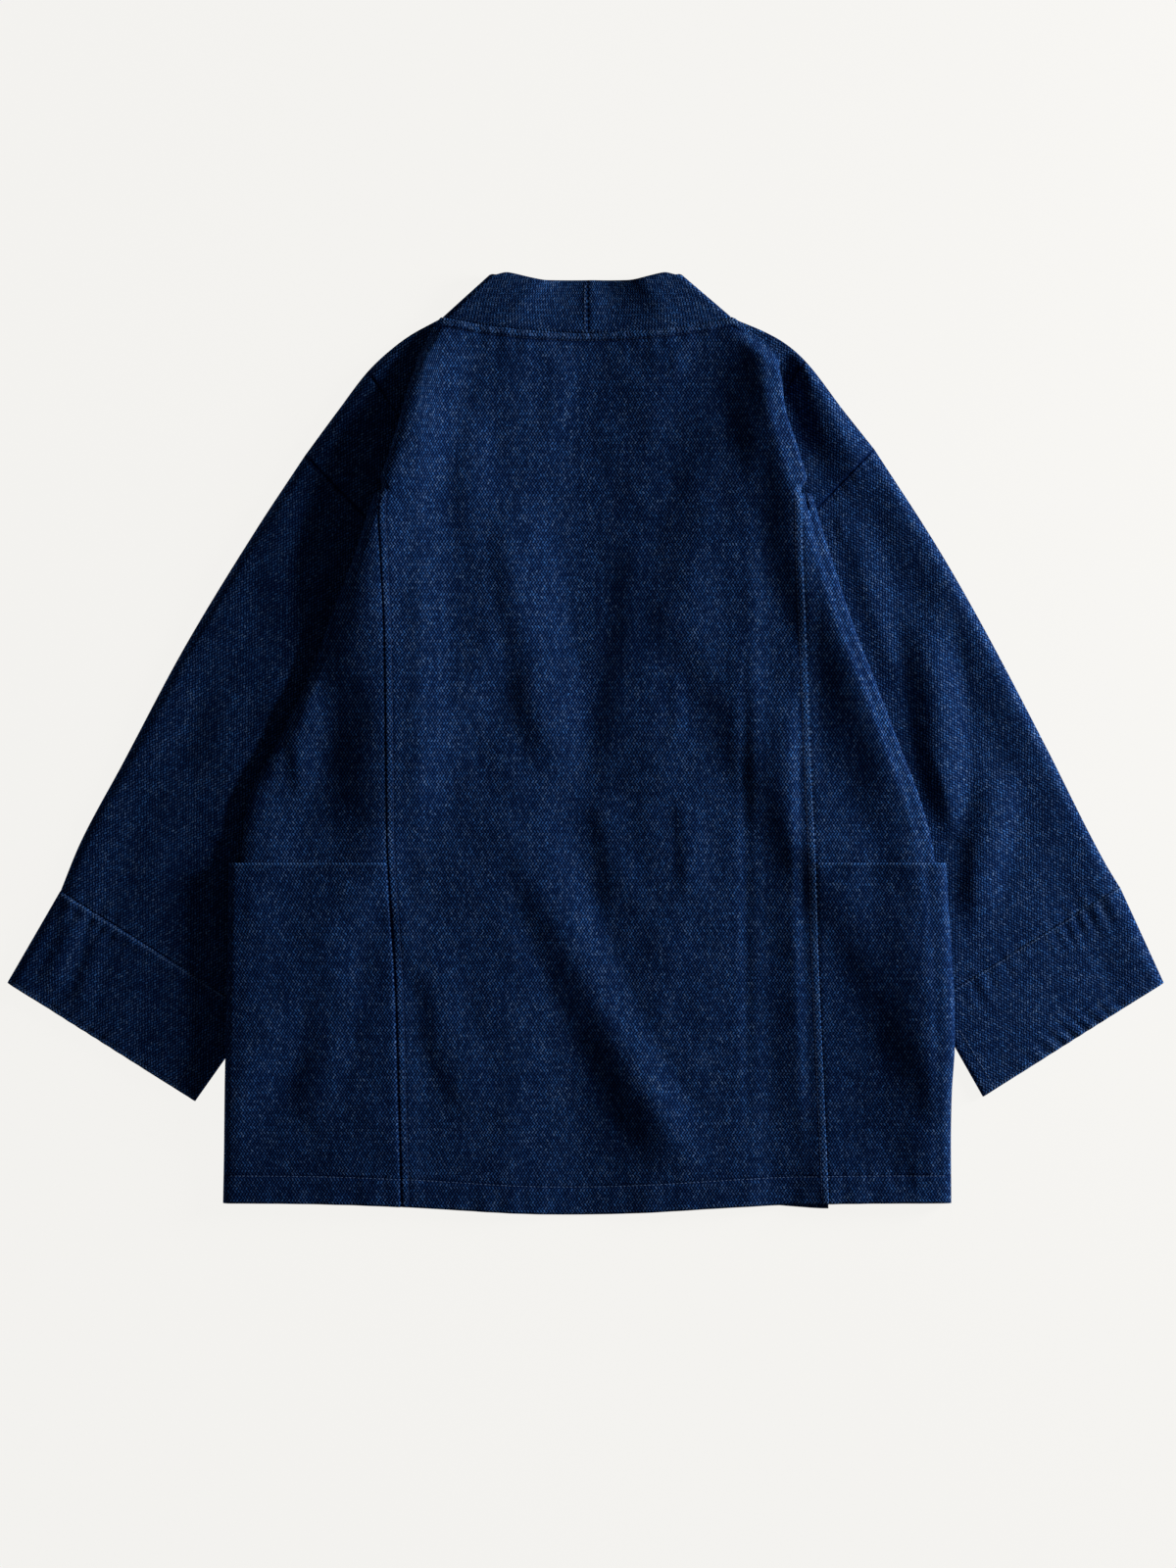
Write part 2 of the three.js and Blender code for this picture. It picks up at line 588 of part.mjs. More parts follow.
// One half of the collar band: from the centre back seam to the ear, round the diagonal turn and
// straight down the open front to the hem.
const BAND_HALF = BAND_CLOTH / 2;
const COLLAR_CENTRE_Y = 394.5;
const COLLAR_SEAM_X = 2;
const BAND_FOLD_INSET = 4;
const EAR_HEIGHT = 9.5;

function collarBand(name, side, finish) {
  const startOut = COLLAR_SEAM_X * side.sign + SEAM_GAP / 2;
  const { ear, neckPoint } = side;
  const rows = [];
  const row = (a, b, za, zb) => rows.push(steps(BAND.across).map((u) => {
    const p = mixPoint(a, b, u);
    return place(side, p, mix(za, zb, u));
  }));
  const seamEnd = [neckPoint.x - BAND_FOLD_INSET, neckPoint.y - 1];
  const topEnd = [ear.x - BAND_FOLD_INSET, ear.y - 1];
  const seamHigh = BAND_CLOTH + 0.6 + BAND_HALF;
  for (const s of steps(BAND.backRows)) {
    const a = [mix(startOut, seamEnd[0], s), 0];
    a[1] = neckLine(a[0]) + SEAM_GAP / 2;
    const rise = smooth(-0.1, 1, s);
    const b = [mix(startOut, topEnd[0], s), mix(COLLAR_CENTRE_Y, topEnd[1], rise)];
    const innerHigh = mix(BAND_HALF + 0.3, seamHigh, smooth(0.15, 0.6, s));
    row(a, b, innerHigh, mix(BAND_HALF + 0.5, EAR_HEIGHT, smooth(0.2, 0.8, s)));
  }
  const along = [topEnd[0] - seamEnd[0], topEnd[1] - seamEnd[1]];
  const length = Math.hypot(...along);
  const outward = [along[1] / length, -along[0] / length];
  for (const s of steps(BAND.turnRows).slice(1, -1)) {
    const angle = Math.PI * s;
    const swing = (p, high) => {
      const reach = Math.min(BAND_FOLD_INSET, (high - BAND_HALF) / 2) * Math.sin(angle);
      return [p[0] + outward[0] * reach, p[1] + outward[1] * reach];
    };
    const level = (high) => (high + BAND_HALF) / 2 + ((high - BAND_HALF) / 2) * Math.cos(angle);
    row(swing(seamEnd, seamHigh), swing(topEnd, EAR_HEIGHT), level(seamHigh), level(EAR_HEIGHT));
  }
  const low = (p) => BAND_HALF + lift(side, p[0], p[1]);
  const drop = (seamY, topY) => {
    const settle = smooth(seamEnd[1], seamEnd[1] - 120, seamY);
    const a = [mix(seamEnd[0], BAND_OUTER - SEAM_GAP / 2, settle), seamY];
    const b = [mix(topEnd[0], BAND_INNER, settle), topY];
    rows.push(steps(BAND.across).map((u) => {
      const p = mixPoint(a, b, u);
      return place(side, p, low(p));
    }));
  };
  for (const s of steps(BAND.topRows).slice(0, -1)) {
    drop(mix(seamEnd[1], FRONT_TOP_Y, s), mix(topEnd[1], FRONT_TOP_Y, s));
  }
  for (const rowY of frontRows) drop(rowY(side, BAND_OUTER), rowY(side, BAND_OUTER));
  return clothWall(name, rows, BAND_CLOTH, finish);
}

const bodyCloth = { color: 0x14294f, roughness: 0.92 };
const sleeveCloth = { color: 0x132648, roughness: 0.92 };
const pocketCloth = { color: 0x16294c, roughness: 0.92 };
const bandCloth = { color: 0x1a2f55, roughness: 0.9 };

// The shares of the shoulder line that the two shoulder pieces leave free beside each other and the sleeve
const PANEL_SEAM_MARGIN = 0.002;
const SLEEVE_SEAM_MARGIN = 0.003;

const haori = new THREE.Group();
haori.add(backCentre(bodyCloth));
for (const [word, side] of Object.entries(SIDES)) {
  const split = side.panelSeamShare;
  haori.add(
    sidePanel(`side_panel_${word}`, side, bodyCloth),
    pocket(`pocket_${word}`, side, pocketCloth),
    frontPanel(`front_${word}`, side, bodyCloth),
    collarBand(`collar_${word}`, side, bandCloth),
    shoulderPiece(`centre_shoulder_${word}`, side, bodyCloth, 0, split - PANEL_SEAM_MARGIN),
    shoulderPiece(
      `side_shoulder_${word}`, side, bodyCloth, split + PANEL_SEAM_MARGIN, 1 - SLEEVE_SEAM_MARGIN,
    ),
    sleeve(`sleeve_${word}`, side, sleeveCloth),
    cuff(`cuff_${word}`, side, sleeveCloth),
  );
}

export default haori;
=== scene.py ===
# Looks of a haori laid face down: fine shells of indigo cloth on the form of its solids, rows of stitches
# and a plain studio. Lengths are in millimetres until a piece's points are set. The places of a side are
# distances out from the middle of the garment, with sign -1 for the left and 1 for the right.

import math
from types import SimpleNamespace

import bmesh
import bpy
import numpy as np
from mathutils import Matrix, Vector
from mathutils.bvhtree import BVHTree


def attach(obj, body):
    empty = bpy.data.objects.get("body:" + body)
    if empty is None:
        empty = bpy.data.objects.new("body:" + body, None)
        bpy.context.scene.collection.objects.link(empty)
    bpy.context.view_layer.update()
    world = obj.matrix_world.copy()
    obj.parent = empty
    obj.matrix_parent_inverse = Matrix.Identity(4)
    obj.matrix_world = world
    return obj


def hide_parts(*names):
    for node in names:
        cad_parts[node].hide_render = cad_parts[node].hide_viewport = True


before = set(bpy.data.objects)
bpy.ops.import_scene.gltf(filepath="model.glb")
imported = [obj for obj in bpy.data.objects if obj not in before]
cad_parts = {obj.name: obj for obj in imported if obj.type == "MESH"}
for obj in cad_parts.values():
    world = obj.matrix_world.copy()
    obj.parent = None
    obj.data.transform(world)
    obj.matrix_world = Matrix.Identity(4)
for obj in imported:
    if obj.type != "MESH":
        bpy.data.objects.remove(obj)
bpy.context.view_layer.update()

MM = 0.001

# The cloth's thickness and the air between its layers; the fine cloth closes the gaps of its solids' seams
CLOTH = 1.5
CUFF_CLOTH = 2.0
BAND_CLOTH = 3.0
HALF = CLOTH / 2
LAYER_AIR = 1.0
TUBE_AIR = 0.4
APART = CLOTH + 0.5

# The garment's lines, as in its solids
BAND_INNER = 75
BAND_OUTER = 134
NECK_CENTRE_Y = 351.3
NECK_HALF = 126
NECK_RISE = 12
HEM_SIDE_Y = -394
HEM_SAG = 10.5
HEM_SAG_CENTRE_X = -10
HEM_SAG_REACH = 140
APEX_Y = 212
FRONT_TOP_Y = 250
POCKET_TOP_Y = -103
POCKET_STEP = CLOTH + 0.8
SLEEVE_HEIGHT = 4.4
SLEEVE_LIFT = SLEEVE_HEIGHT + 0.8
PUFF = 4.2
SLEEVE_LENGTH = 490
CUFF_LENGTH = 86
SHOULDER_FOOT = 262
PLEAT_TURN = 4.5
PLEAT_TURN_IN = 14
OVER_SLEEVE = SLEEVE_HEIGHT + 0.6
OVER_BAND = BAND_CLOTH + 1.6
PLEAT_FLOOR = OVER_SLEEVE + HALF

# Over a sleeve: how far before its edge the body starts to rise and is up, and the heights between which
# the lift fades at the shoulder. The roll along a side edge ends a way in from it.
RISE_START = 62
RISE_END = 16
LIFT_TOP_Y = 300
LIFT_FULL_Y = 258
ROLL_END = 58

# Sewing: how far in from an edge each row of stitches runs
SEAM_ALLOWANCE = 5.6
NECK_ALLOWANCE = 7.0
HEM_DEPTH = 23.5
CUFF_STITCH = 3.0
CUFF_SEAM_STITCH = 1.4
CUFF_TURN = 8.5
SLEEVE_STITCH = 3.2

BODY_LEFT = dict(
    y=[332, 285, 250, 220, 205, 160, 100, 50, 0, -45, -90, -200, -300, -396],
    seam=[141, 152, 162, 172, 175.2, 174, 171.5, 170.5, 170, 169.7, 169.3, 162.5, 159.5, 156.7],
    edge=[143, 155.5, 165.5, 176, 181.5, 196, 219, 238, 262, 286, 293, 299, 303, 306.5],
    roll=[4.5, 7, 8, 8, 7.5, 7, 6.5, 6, 5.5, 5, 4, 3.5, 3, 1.5],
)
BODY_RIGHT = dict(
    y=[332, 285, 250, 215, 160, 100, 50, 0, -45, -90, -200, -300, -396],
    seam=[164, 167, 177, 182.8, 184.5, 187.5, 189.5, 191.5, 193.5, 195.8, 199.5, 203.8, 208],
    edge=[166, 170, 181, 191.5, 208.5, 228, 247.5, 266.5, 284, 296, 305, 307.5, 309],
    roll=[5, 8.5, 9, 8.5, 8, 7.5, 7, 6, 5, 4, 4, 3.5, 1.5],
)
POCKET_LEFT = dict(y=[-103, -200, -300, -396], edge=[304, 305.5, 307.5, 309.5])
POCKET_RIGHT = dict(
    y=[-103, -160, -215, -261, -300, -396],
    edge=[307, 310.5, 313.5, 314.3, 312, 312.3],
)

LEFT = SimpleNamespace(
    word="left",
    sign=-1,
    front_hem=(-395, -394.5),
    roll_reach=8,
    bend=6,
    relief=1.0,
    # Painted shadow along the left long seam's lapped edge
    seam_edge_painted_light=-0.8,
    pocket_inset=1.6,
    pocket_rise=0.0,
    panel_area=0.12,
    pocket_area=0.084,
    front_flat=(0.042, 0.65),
    front_area=0.0215,
    body=BODY_LEFT,
    pocket=POCKET_LEFT,
    ear=(79, 403),
    neck_point=(124, 362.5),
    shoulder=[(125.8, 361.2), (149, 348.5), (163, 338.5), (184.5, 318.8), (212, 283), (240, 244.9)],
    panel_seam_share=0.455,
    panel_seam_end=(140, 248),
    armhole_end=(99.3, 103.5),
    sleeve=[(240, 244.9), (281, 182.7), (342.4, 81.9), (396.1, -18.9), (432, -86.1), (449.2, -128.1)],
    cuff_seam_end=(283, -233.1),
    cuff_outer=(494.3, -206.2),
    cuff_inner=(335, -306.8),
)
RIGHT = SimpleNamespace(
    word="right",
    sign=1,
    front_hem=(-395, -399),
    roll_reach=15,
    bend=9,
    relief=0.5,
    # Painted highlight along the right long seam's lapped edge
    seam_edge_painted_light=1.0,
    pocket_inset=0.3,
    pocket_rise=2.1,
    panel_area=0.095,
    pocket_area=0.064,
    front_flat=(0.075, 0.65),
    front_area=0.0395,
    body=BODY_RIGHT,
    pocket=POCKET_RIGHT,
    ear=(79, 403),
    neck_point=(126, 363),
    shoulder=[(127.8, 361.6), (153, 351), (170, 341.5), (186.4, 327.5), (221, 283), (246.7, 250.7)],
    panel_seam_share=0.42,
    panel_seam_end=(150, 262),
    armhole_end=(108, 107),
    sleeve=[(246.7, 250.7), (301.3, 165.9), (339.8, 98.7), (392.7, -2.1), (444, -102.9), (456.6, -123.9)],
    cuff_seam_end=(296, -223.3),
    cuff_outer=(494.3, -206.2),
    cuff_inner=(341, -303),
)
SIDES = (LEFT, RIGHT)

# Folds: a crest from one point by way of a second to a third, how far it falls away to the west
# and to the east, and its height. A negative height is a trough.
BACK_FOLDS = [
    ((-150, 430), (-178, 150), (-168, -150), 50, 66, 11.5),
    ((-148, 210), (-144, 90), (-132, -50), 60, 44, 1.5),
    ((-66, 230), (-48, 90), (-18, -60), 28, 40, 5),
    ((48, 190), (38, 75), (12, -50), 24, 80, 2.5),
    ((176, 430), (176, 170), (184, -80), 60, 24, 3.2),
    ((-52, -50), (18, -240), (106, -385), 36, 34, 6.5),
    ((-158, -125), (-140, -190), (-108, -246), 20, 32, 2),
    ((-130, -215), (-118, -262), (-92, -330), 22, 30, 2),
    ((12, -40), (20, -90), (28, -160), 16, 26, 2),
    ((300, -110), (300, -250), (296, -385), 86, 14, 4.2),
    ((-206, -150), (-220, -246), (-236, -340), 26, 26, 2.5),
    ((-236, 50), (-236, 10), (-244, -70), 20, 26, 2),
    ((172, 60), (176, -120), (186, -420), 36, 10, 3.4),
]
SLEEVE_FOLDS = [
    ((-196, 200), (-246, 30), (-312, -160), 112, 14, 5.2),
    ((228, 236), (246, 99), (266, 40), 26, 24, 2),
    ((282, 134), (303, 10), (300, -94), 28, 28, 6.5),
    ((348, -8), (341, -90), (320, -168), 26, 28, 4.5),
    ((-248, 222), (-257, 165), (-272, 92), 24, 18, 2),
    ((-280, 138), (-305, 48), (-323, -42), 26, 26, 1.5),
    ((-341, 4), (-363, -86), (-377, -150), 24, 24, 1),
]
# Small creases that only the fine cloth has
BACK_CREASES = [
    ((148, 352), (158, 312), (174, 236), 24, 12, 3.4),
    ((196, 176), (232, 60), (278, -70), 60, 10, 3),
    ((-164, -60), (-166, -250), (-162, -440), 126, 30, 2.4),
    ((136, 110), (137, -120), (139, -392), 7, 8, -1.4),
    ((84, -42), (86, -90), (90, -145), 12, 24, 1.6),
    ((-250, 14), (-246, -20), (-240, -50), 9, 18, 1.4),
    ((72, 62), (78, 30), (72, -10), 9, 12, 1.1),
    ((80, 346), (78, 330), (74, 306), 7, 9, 0.9),
    ((-90, 330), (-96, 250), (-88, 170), 26, 20, 1.2),
    ((-30, 345), (-26, 300), (-34, 240), 14, 18, 0.8),
]
SLEEVE_CREASES = [
    ((172, 352), (206, 284), (244, 212), 34, 14, 4.2),
    ((-432, -132), (-447, -180), (-464, -216), 14, 16, 2.2),
    ((-412, -150), (-424, -194), (-436, -230), 10, 12, 1.2),
    ((214, 196), (218, 182), (220, 168), 5, 7, 1.2),
    ((-230, 226), (-229, 200), (-233, 168), 6, 6, 1.5),
]


def smooth(start, end, value):
    t = np.clip((value - start) / (end - start), 0, 1)
    return t * t * (3 - 2 * t)


def mix(a, b, share):
    return a + (b - a) * share


def bell(distance, reach):
    """1 on a line, falling away softly on both sides of it."""
    return np.exp(-((distance / reach) ** 2))


def lengths(steps):
    """Lengths on the ground of steps from point to point."""
    return np.hypot(steps[..., 0], steps[..., 1])


def run_of(steps):
    """How far along a line each of its points lies, from the lengths between them."""
    return np.concatenate([[0], np.cumsum(steps)])


def through(places, values, at):
    """A smooth curve through values at rising places."""
    places, values = np.asarray(places, float), np.asarray(values, float)
    chords = np.diff(values) / np.diff(places)
    slopes = np.concatenate([chords[:1], (chords[:-1] + chords[1:]) / 2, chords[-1:]])
    at = np.clip(at, places[0], places[-1])
    i = np.clip(np.searchsorted(places, at) - 1, 0, len(chords) - 1)
    span = places[i + 1] - places[i]
    t = (at - places[i]) / span
    return (
        values[i] * (1 + 2 * t) * (1 - t) ** 2
        + slopes[i] * span * t * (1 - t) ** 2
        + values[i + 1] * t * t * (3 - 2 * t)
        + slopes[i + 1] * span * t * t * (t - 1)
    )


def column(table, name, y):
    """A named column of a table at a height y."""
    return through(table["y"][::-1], table[name][::-1], y)


def curve_of(points, share):
    """Points at shares along a smooth curve through a short list."""
    points = np.asarray(points, float)
    run = run_of(lengths(np.diff(points, axis=0)))
    return np.stack([through(run / run[-1], points[:, i], share) for i in (0, 1)], -1)


def between(a, b, share):
    return mix(np.asarray(a, float), np.asarray(b, float), np.asarray(share)[..., None])


def neck_line(x):
    return NECK_CENTRE_Y + NECK_RISE * np.minimum(1, (x / NECK_HALF) ** 2)


def hem_line(x):
    return HEM_SIDE_Y - HEM_SAG * bell(x - HEM_SAG_CENTRE_X, HEM_SAG_REACH)


def ripple(x, y, size, seed):
    """Even, soft unevenness between about -1 and 1, with waves of about the given size."""
    draw = np.random.default_rng(seed)
    total = 0
    for _ in range(7):
        angle = draw.uniform(0, math.tau)
        wave = size * draw.uniform(0.7, 1.6)
        phase = draw.uniform(0, math.tau)
        total = total + np.sin((x * math.cos(angle) + y * math.sin(angle)) * math.tau / wave + phase)
    return total / 3.2


def nearest_on(path, x, y):
    """For each place: its gap to a line of points, how far east of the line it is, the share along the line
    where it is nearest, and a measure that is above 0 on the line's left."""
    path = np.asarray(path, float)
    gap = np.full(x.shape, np.inf)
    east = along = left = np.zeros(x.shape)
    for i in range(len(path) - 1):
        step = path[i + 1] - path[i]
        from_x, from_y = x - path[i, 0], y - path[i, 1]
        s = np.clip((from_x * step[0] + from_y * step[1]) / (step @ step), 0, 1)
        dx = from_x - s * step[0]
        d = np.hypot(dx, from_y - s * step[1])
        closer = d < gap
        gap = np.where(closer, d, gap)
        east = np.where(closer, dx, east)
        along = np.where(closer, (i + s) / (len(path) - 1), along)
        left = np.where(closer, step[0] * from_y - step[1] * from_x, left)
    return gap, east, along, left


def fold_height(folds, x, y):
    """Height of the folds of a table at many points."""
    x, y = np.broadcast_arrays(x, y)
    total = np.zeros(x.shape)
    for start, via, end, west, east, height in folds:
        start, via, end = np.array((start, via, end), float)
        control = 2 * via - (start + end) / 2
        t = np.linspace(0, 1, 15)[:, None]
        path = start * (1 - t) ** 2 + control * 2 * t * (1 - t) + end * t * t
        reach = max(west, east)
        low = path.min(axis=0) - reach
        high = path.max(axis=0) + reach
        near = (x > low[0]) & (x < high[0]) & (y > low[1]) & (y < high[1])
        if not near.any():
            continue
        gap, past, along, _ = nearest_on(path, x[near], y[near])
        share = np.minimum(1, gap / np.where(past > 0, east, west))
        ends = smooth(0, 0.3, along) * smooth(1, 0.7, along)
        total[near] += height * ends * (1 - share * share) ** 2
    return total


def over_sleeve(side, out, y):
    """0 well clear of the sleeve and shoulder below, 1 over them."""
    line = [
        (BAND_OUTER, NECK_CENTRE_Y),
        (BAND_OUTER, SHOULDER_FOOT),
        side.armhole_end,
        side.cuff_seam_end,
        side.cuff_inner,
    ]
    gap, _, _, left = nearest_on(line, *np.broadcast_arrays(out, y))
    return smooth(-RISE_START, -RISE_END, np.where(left > 0, gap, -gap))


def lift(side, out, y):
    """How far a sleeve raises the lower layer of the body."""
    return SLEEVE_LIFT * over_sleeve(side, out, y) * smooth(LIFT_TOP_Y, LIFT_FULL_Y, y)


def pocket_share(y):
    """0 above the pocket, 1 over it."""
    return smooth(POCKET_TOP_Y + 34, POCKET_TOP_Y + 6, y)


def under_height(side, out, y):
    """Middle height of the cloth that lies on the ground or on a sleeve."""
    return HALF + lift(side, out, y)


def upper_base(side, out, y):
    """Middle height of the body's upper layer without its folds: it lies on whatever is highest below."""
    lifted = lift(side, out, y)
    over_band = smooth(0, BAND_INNER - 4, out) * smooth(BAND_OUTER + 40, BAND_OUTER + 4, out)
    over_front = smooth(BAND_OUTER - 40, BAND_OUTER - 4, out)
    seam = column(side.body, "seam", y)
    over_pocket = pocket_share(y) * smooth(seam - 30, seam - 4, out) * POCKET_STEP
    heights = (
        over_band * (OVER_BAND + lifted),
        over_front * (CLOTH + LAYER_AIR + lifted + over_pocket),
        over_sleeve(side, out, y) * OVER_SLEEVE,
    )
    return HALF + sum(h**4 for h in heights) ** 0.25


def upper_height(side, out, y):
    """Middle height of the body's upper layer, with its folds."""
    inside = column(side.body, "edge", y) - out
    roll = column(side.body, "roll", y) * smooth(-2, side.roll_reach, inside)
    roll = roll * smooth(ROLL_END, side.roll_reach, inside)
    hem_calm = mix(0.45, 1, smooth(HEM_SIDE_Y, HEM_SIDE_Y + 40, y))
    neck_calm = smooth(NECK_CENTRE_Y + 6, NECK_CENTRE_Y - 30, y)
    x = side.sign * out
    folds = fold_height(BACK_FOLDS, x, y) + fold_height(BACK_CREASES, x, y)
    uneven = 0.22 * ripple(x, y, 46, 3) + 0.1 * ripple(x, y, 19, 4)
    return upper_base(side, out, y) + roll * hem_calm + (folds + uneven) * hem_calm * neck_calm


def pucker(along, inward, pitch, seed, depth=0.35, reach=9):
    """Short gathers across a row of stitches, at a distance inward from it."""
    wander = 0.35 * pitch * np.sin(along / pitch * 0.61 + seed)
    wave = np.sin((along + wander) * math.tau / pitch + seed)
    strength = 0.6 + 0.4 * np.sin(along * 0.043 + seed * 2.1)
    return depth * wave * strength * bell(inward, reach)


def sewn(inward, at, ridge=0.8, groove=0.7, width=1.1):
    """A raised allowance from the edge to the stitches, and the dip that the stitches pull."""
    raised = ridge * smooth(0, 1.2, inward) * smooth(at + 0.6, at - 1.2, inward)
    return raised - groove * bell(inward - at, width)


def hem_detail(x, y):
    """The turned and stitched hem of the body."""
    up = y - hem_line(x)
    turned = 0.55 * smooth(HEM_DEPTH + 1.4, HEM_DEPTH - 1.4, up)
    dip = 0.6 * bell(up - HEM_DEPTH, 1.3)
    return turned - dip + pucker(x, up - HEM_DEPTH, 13, 1.3, 0.3, 8) + pucker(x, up, 27, 2.2, 0.5, 16)


def cells(*stretches):
    """Places along a piece: each stretch is its end and the step to take up to it."""
    places = [0.0]
    for end, step in stretches:
        count = max(1, round((end - places[-1]) / step))
        places.extend(np.linspace(places[-1], end, count + 1)[1:])
    return np.array(places)


# How finely the cloth is divided along its rows, and the share of its length by which a piece passes
# under a seam
FINE = 1.1
PLAIN = 3.0
HEM_STEP = 2.4
SHOULDER_DEPTH = 140
SEAM_LAP = 0.0004

# Points across each kind of piece; a tube's are those of its upper and its lower layer
BACK_POINTS = 56
PLEAT_POINTS = 15
PANEL_POINTS = 46
UNDER_POINTS = 24
EDGE_POINTS = 10
SLEEVE_POINTS = (76, 40)
SHOULDER_POINTS = (40, 20)
FRONT_POINTS = 20
BAND_POINTS = 24
FRONT_TOP_ROWS = np.linspace(FRONT_TOP_Y, APEX_Y + 3, 14)


def even(count):
    """Evenly spaced shares across the rows of a piece."""
    return np.linspace(0, 1, count)[None, :]


def below_apex(y):
    """1 below the end of the shoulder pleat, 0 above it."""
    return smooth(APEX_Y + 12, APEX_Y - 6, y)


def row_y(side, t, out):
    """Height up the garment of a row: t is 0 at the neck, 1 at the apex, 2 at the pocket, 3 at the hem."""
    x = side.sign * out
    upper = mix(back_top(side, out), APEX_Y, np.clip(t, 0, 1))
    middle = mix(APEX_Y, POCKET_TOP_Y, np.clip(t - 1, 0, 1))
    lower = mix(POCKET_TOP_Y, hem_line(x), np.clip(t - 2, 0, 1))
    return np.where(t <= 1, upper, np.where(t <= 2, middle, lower))


def back_top(side, out):
    """The top edge of the back: the neck seam, then down the shoulder to the pleat."""
    neck_x = side.neck_point[0]
    corner = (side.body["edge"][0], side.body["y"][0])
    seam = neck_line(np.minimum(out, NECK_HALF))
    slope = np.clip((out - neck_x) / (corner[0] - neck_x), 0, 1)
    return mix(seam, corner[1], slope)


def body_rows(start=0):
    """Row parameters of the body, close together along the neck, the pocket mouth and the hem."""
    shoulder = cells((10, FINE), (SHOULDER_DEPTH, PLAIN)) / SHOULDER_DEPTH
    middle = 1 + cells((APEX_Y - POCKET_TOP_Y, PLAIN))[1:] / (APEX_Y - POCKET_TOP_Y)
    depth = POCKET_TOP_Y - HEM_SIDE_Y
    lower = 2 + cells((8, FINE), (depth - 28, PLAIN), (depth - 19, FINE), (depth, HEM_STEP))[1:] / depth
    rows = np.concatenate([shoulder, middle, lower])
    return rows[rows >= start][:, None]


def back_half(side):
    """Rows of points from the middle of the back to one of its edges."""
    t = body_rows()
    # A row's end and its height there depend on each other, so they are found in a few rounds
    rim = np.full(t.shape, 170.0)
    for _ in range(5):
        y = row_y(side, t, rim)
        pleated = smooth(APEX_Y, APEX_Y + PLEAT_TURN_IN, y)
        rim = mix(column(side.body, "seam", y), column(side.body, "edge", y), pleated)
    turned = pleated * smooth(0, 26, back_top(side, rim) - y)
    turn_start = rim - 2.2 * PLEAT_TURN

    def height(out):
        y_here = row_y(side, t, out)
        full = upper_height(side, out, y_here)
        down = back_top(side, out) - y_here
        shoulder = smooth(side.neck_point[0] - 30, side.neck_point[0] + 8, out) * smooth(16, 0, down)
        z = mix(full, np.minimum(full, PLEAT_FLOOR + 0.4), shoulder)
        x = side.sign * out
        at_neck = smooth(side.neck_point[0] + 14, side.neck_point[0] - 2, out)
        neck = sewn(down, NECK_ALLOWANCE, 1.1, 0.9) + pucker(x, down - 4, 4.8, 0.7, 0.5, 4)
        neck = neck + pucker(x, down - 9, 14, 5.1, 0.35, 12)
        inward = rim - out
        seam = sewn(inward, SEAM_ALLOWANCE, 0.4, 0.22) + pucker(y_here, inward - 5, 11, 2.9, 0.14, 5)
        seam = side.relief * seam * below_apex(y_here)
        rise = side.pocket_rise * pocket_share(y_here) * smooth(44, 0, inward)
        return z + rise + neck * at_neck + seam + hem_detail(x, y_here)

    out = turn_start * even(BACK_POINTS)
    y = row_y(side, t, out)
    z = height(out)
    k = even(PLEAT_POINTS)[:, 1:]
    crest = height(turn_start)
    floor = np.minimum(crest, PLEAT_FLOOR)
    lying = mix(turn_start, rim, k)
    bent = rim - PLEAT_TURN + PLEAT_TURN * np.sin(math.pi * k)
    bent_z = (crest + floor) / 2 + (crest - floor) / 2 * np.cos(math.pi * k)
    out_turn = mix(lying, bent, turned)
    y_turn = row_y(side, t, np.maximum(out_turn, lying))
    z_turn = mix(height(lying), bent_z, turned)
    return np.stack(
        [
            side.sign * np.concatenate([out, out_turn], 1),
            np.concatenate([y, y_turn], 1),
            np.maximum(HALF, np.concatenate([z, z_turn], 1)),
        ],
        -1,
    )


def back_centre_points():
    left = back_half(LEFT)[:, ::-1]
    right = back_half(RIGHT)
    return np.concatenate([left[:, :-1], right], 1)


def wrapped_points(side, t, inset, table, upper_at, lower_at):
    """Rows of a piece that goes from the long back seam over the side edge to the front seam."""
    y_row = row_y(side, t, 180.0)
    seam = column(side.body, "seam", y_row) + inset
    edge = column(table, "edge", y_row)
    reach = np.minimum(side.bend, (edge - seam) * 0.6)
    over = seam + (edge - reach - seam) * even(PANEL_POINTS) ** 1.15
    under = mix(edge - reach, seam, even(UNDER_POINTS))
    y_over = row_y(side, t, over)
    y_under = row_y(side, t, under)
    z_over = upper_at(over, y_over, over - seam)
    z_under = lower_at(under, y_under)
    angle = math.pi * even(EDGE_POINTS)[:, 1:-1]
    top, bottom = z_over[:, -1:], z_under[:, :1]
    bend = edge - reach + reach * np.sin(angle)
    z_bend = (top + bottom) / 2 + (top - bottom) / 2 * np.cos(angle)
    return np.stack(
        [
            side.sign * np.concatenate([over, bend, under], 1),
            np.concatenate([y_over, row_y(side, t, bend), y_under], 1),
            np.concatenate([z_over, z_bend, z_under], 1),
        ],
        -1,
    )


def side_panel_points(side):
    def lower(out, y):
        return under_height(side, out, y) + POCKET_STEP * pocket_share(y)

    def upper(out, y, inward):
        plain = np.maximum(upper_height(side, out, y), lower(out, y) + APART)
        return plain - 0.4 * side.relief * smooth(4, 0, inward) + hem_detail(side.sign * out, y)

    return wrapped_points(side, body_rows(1), 0, side.body, upper, lower)


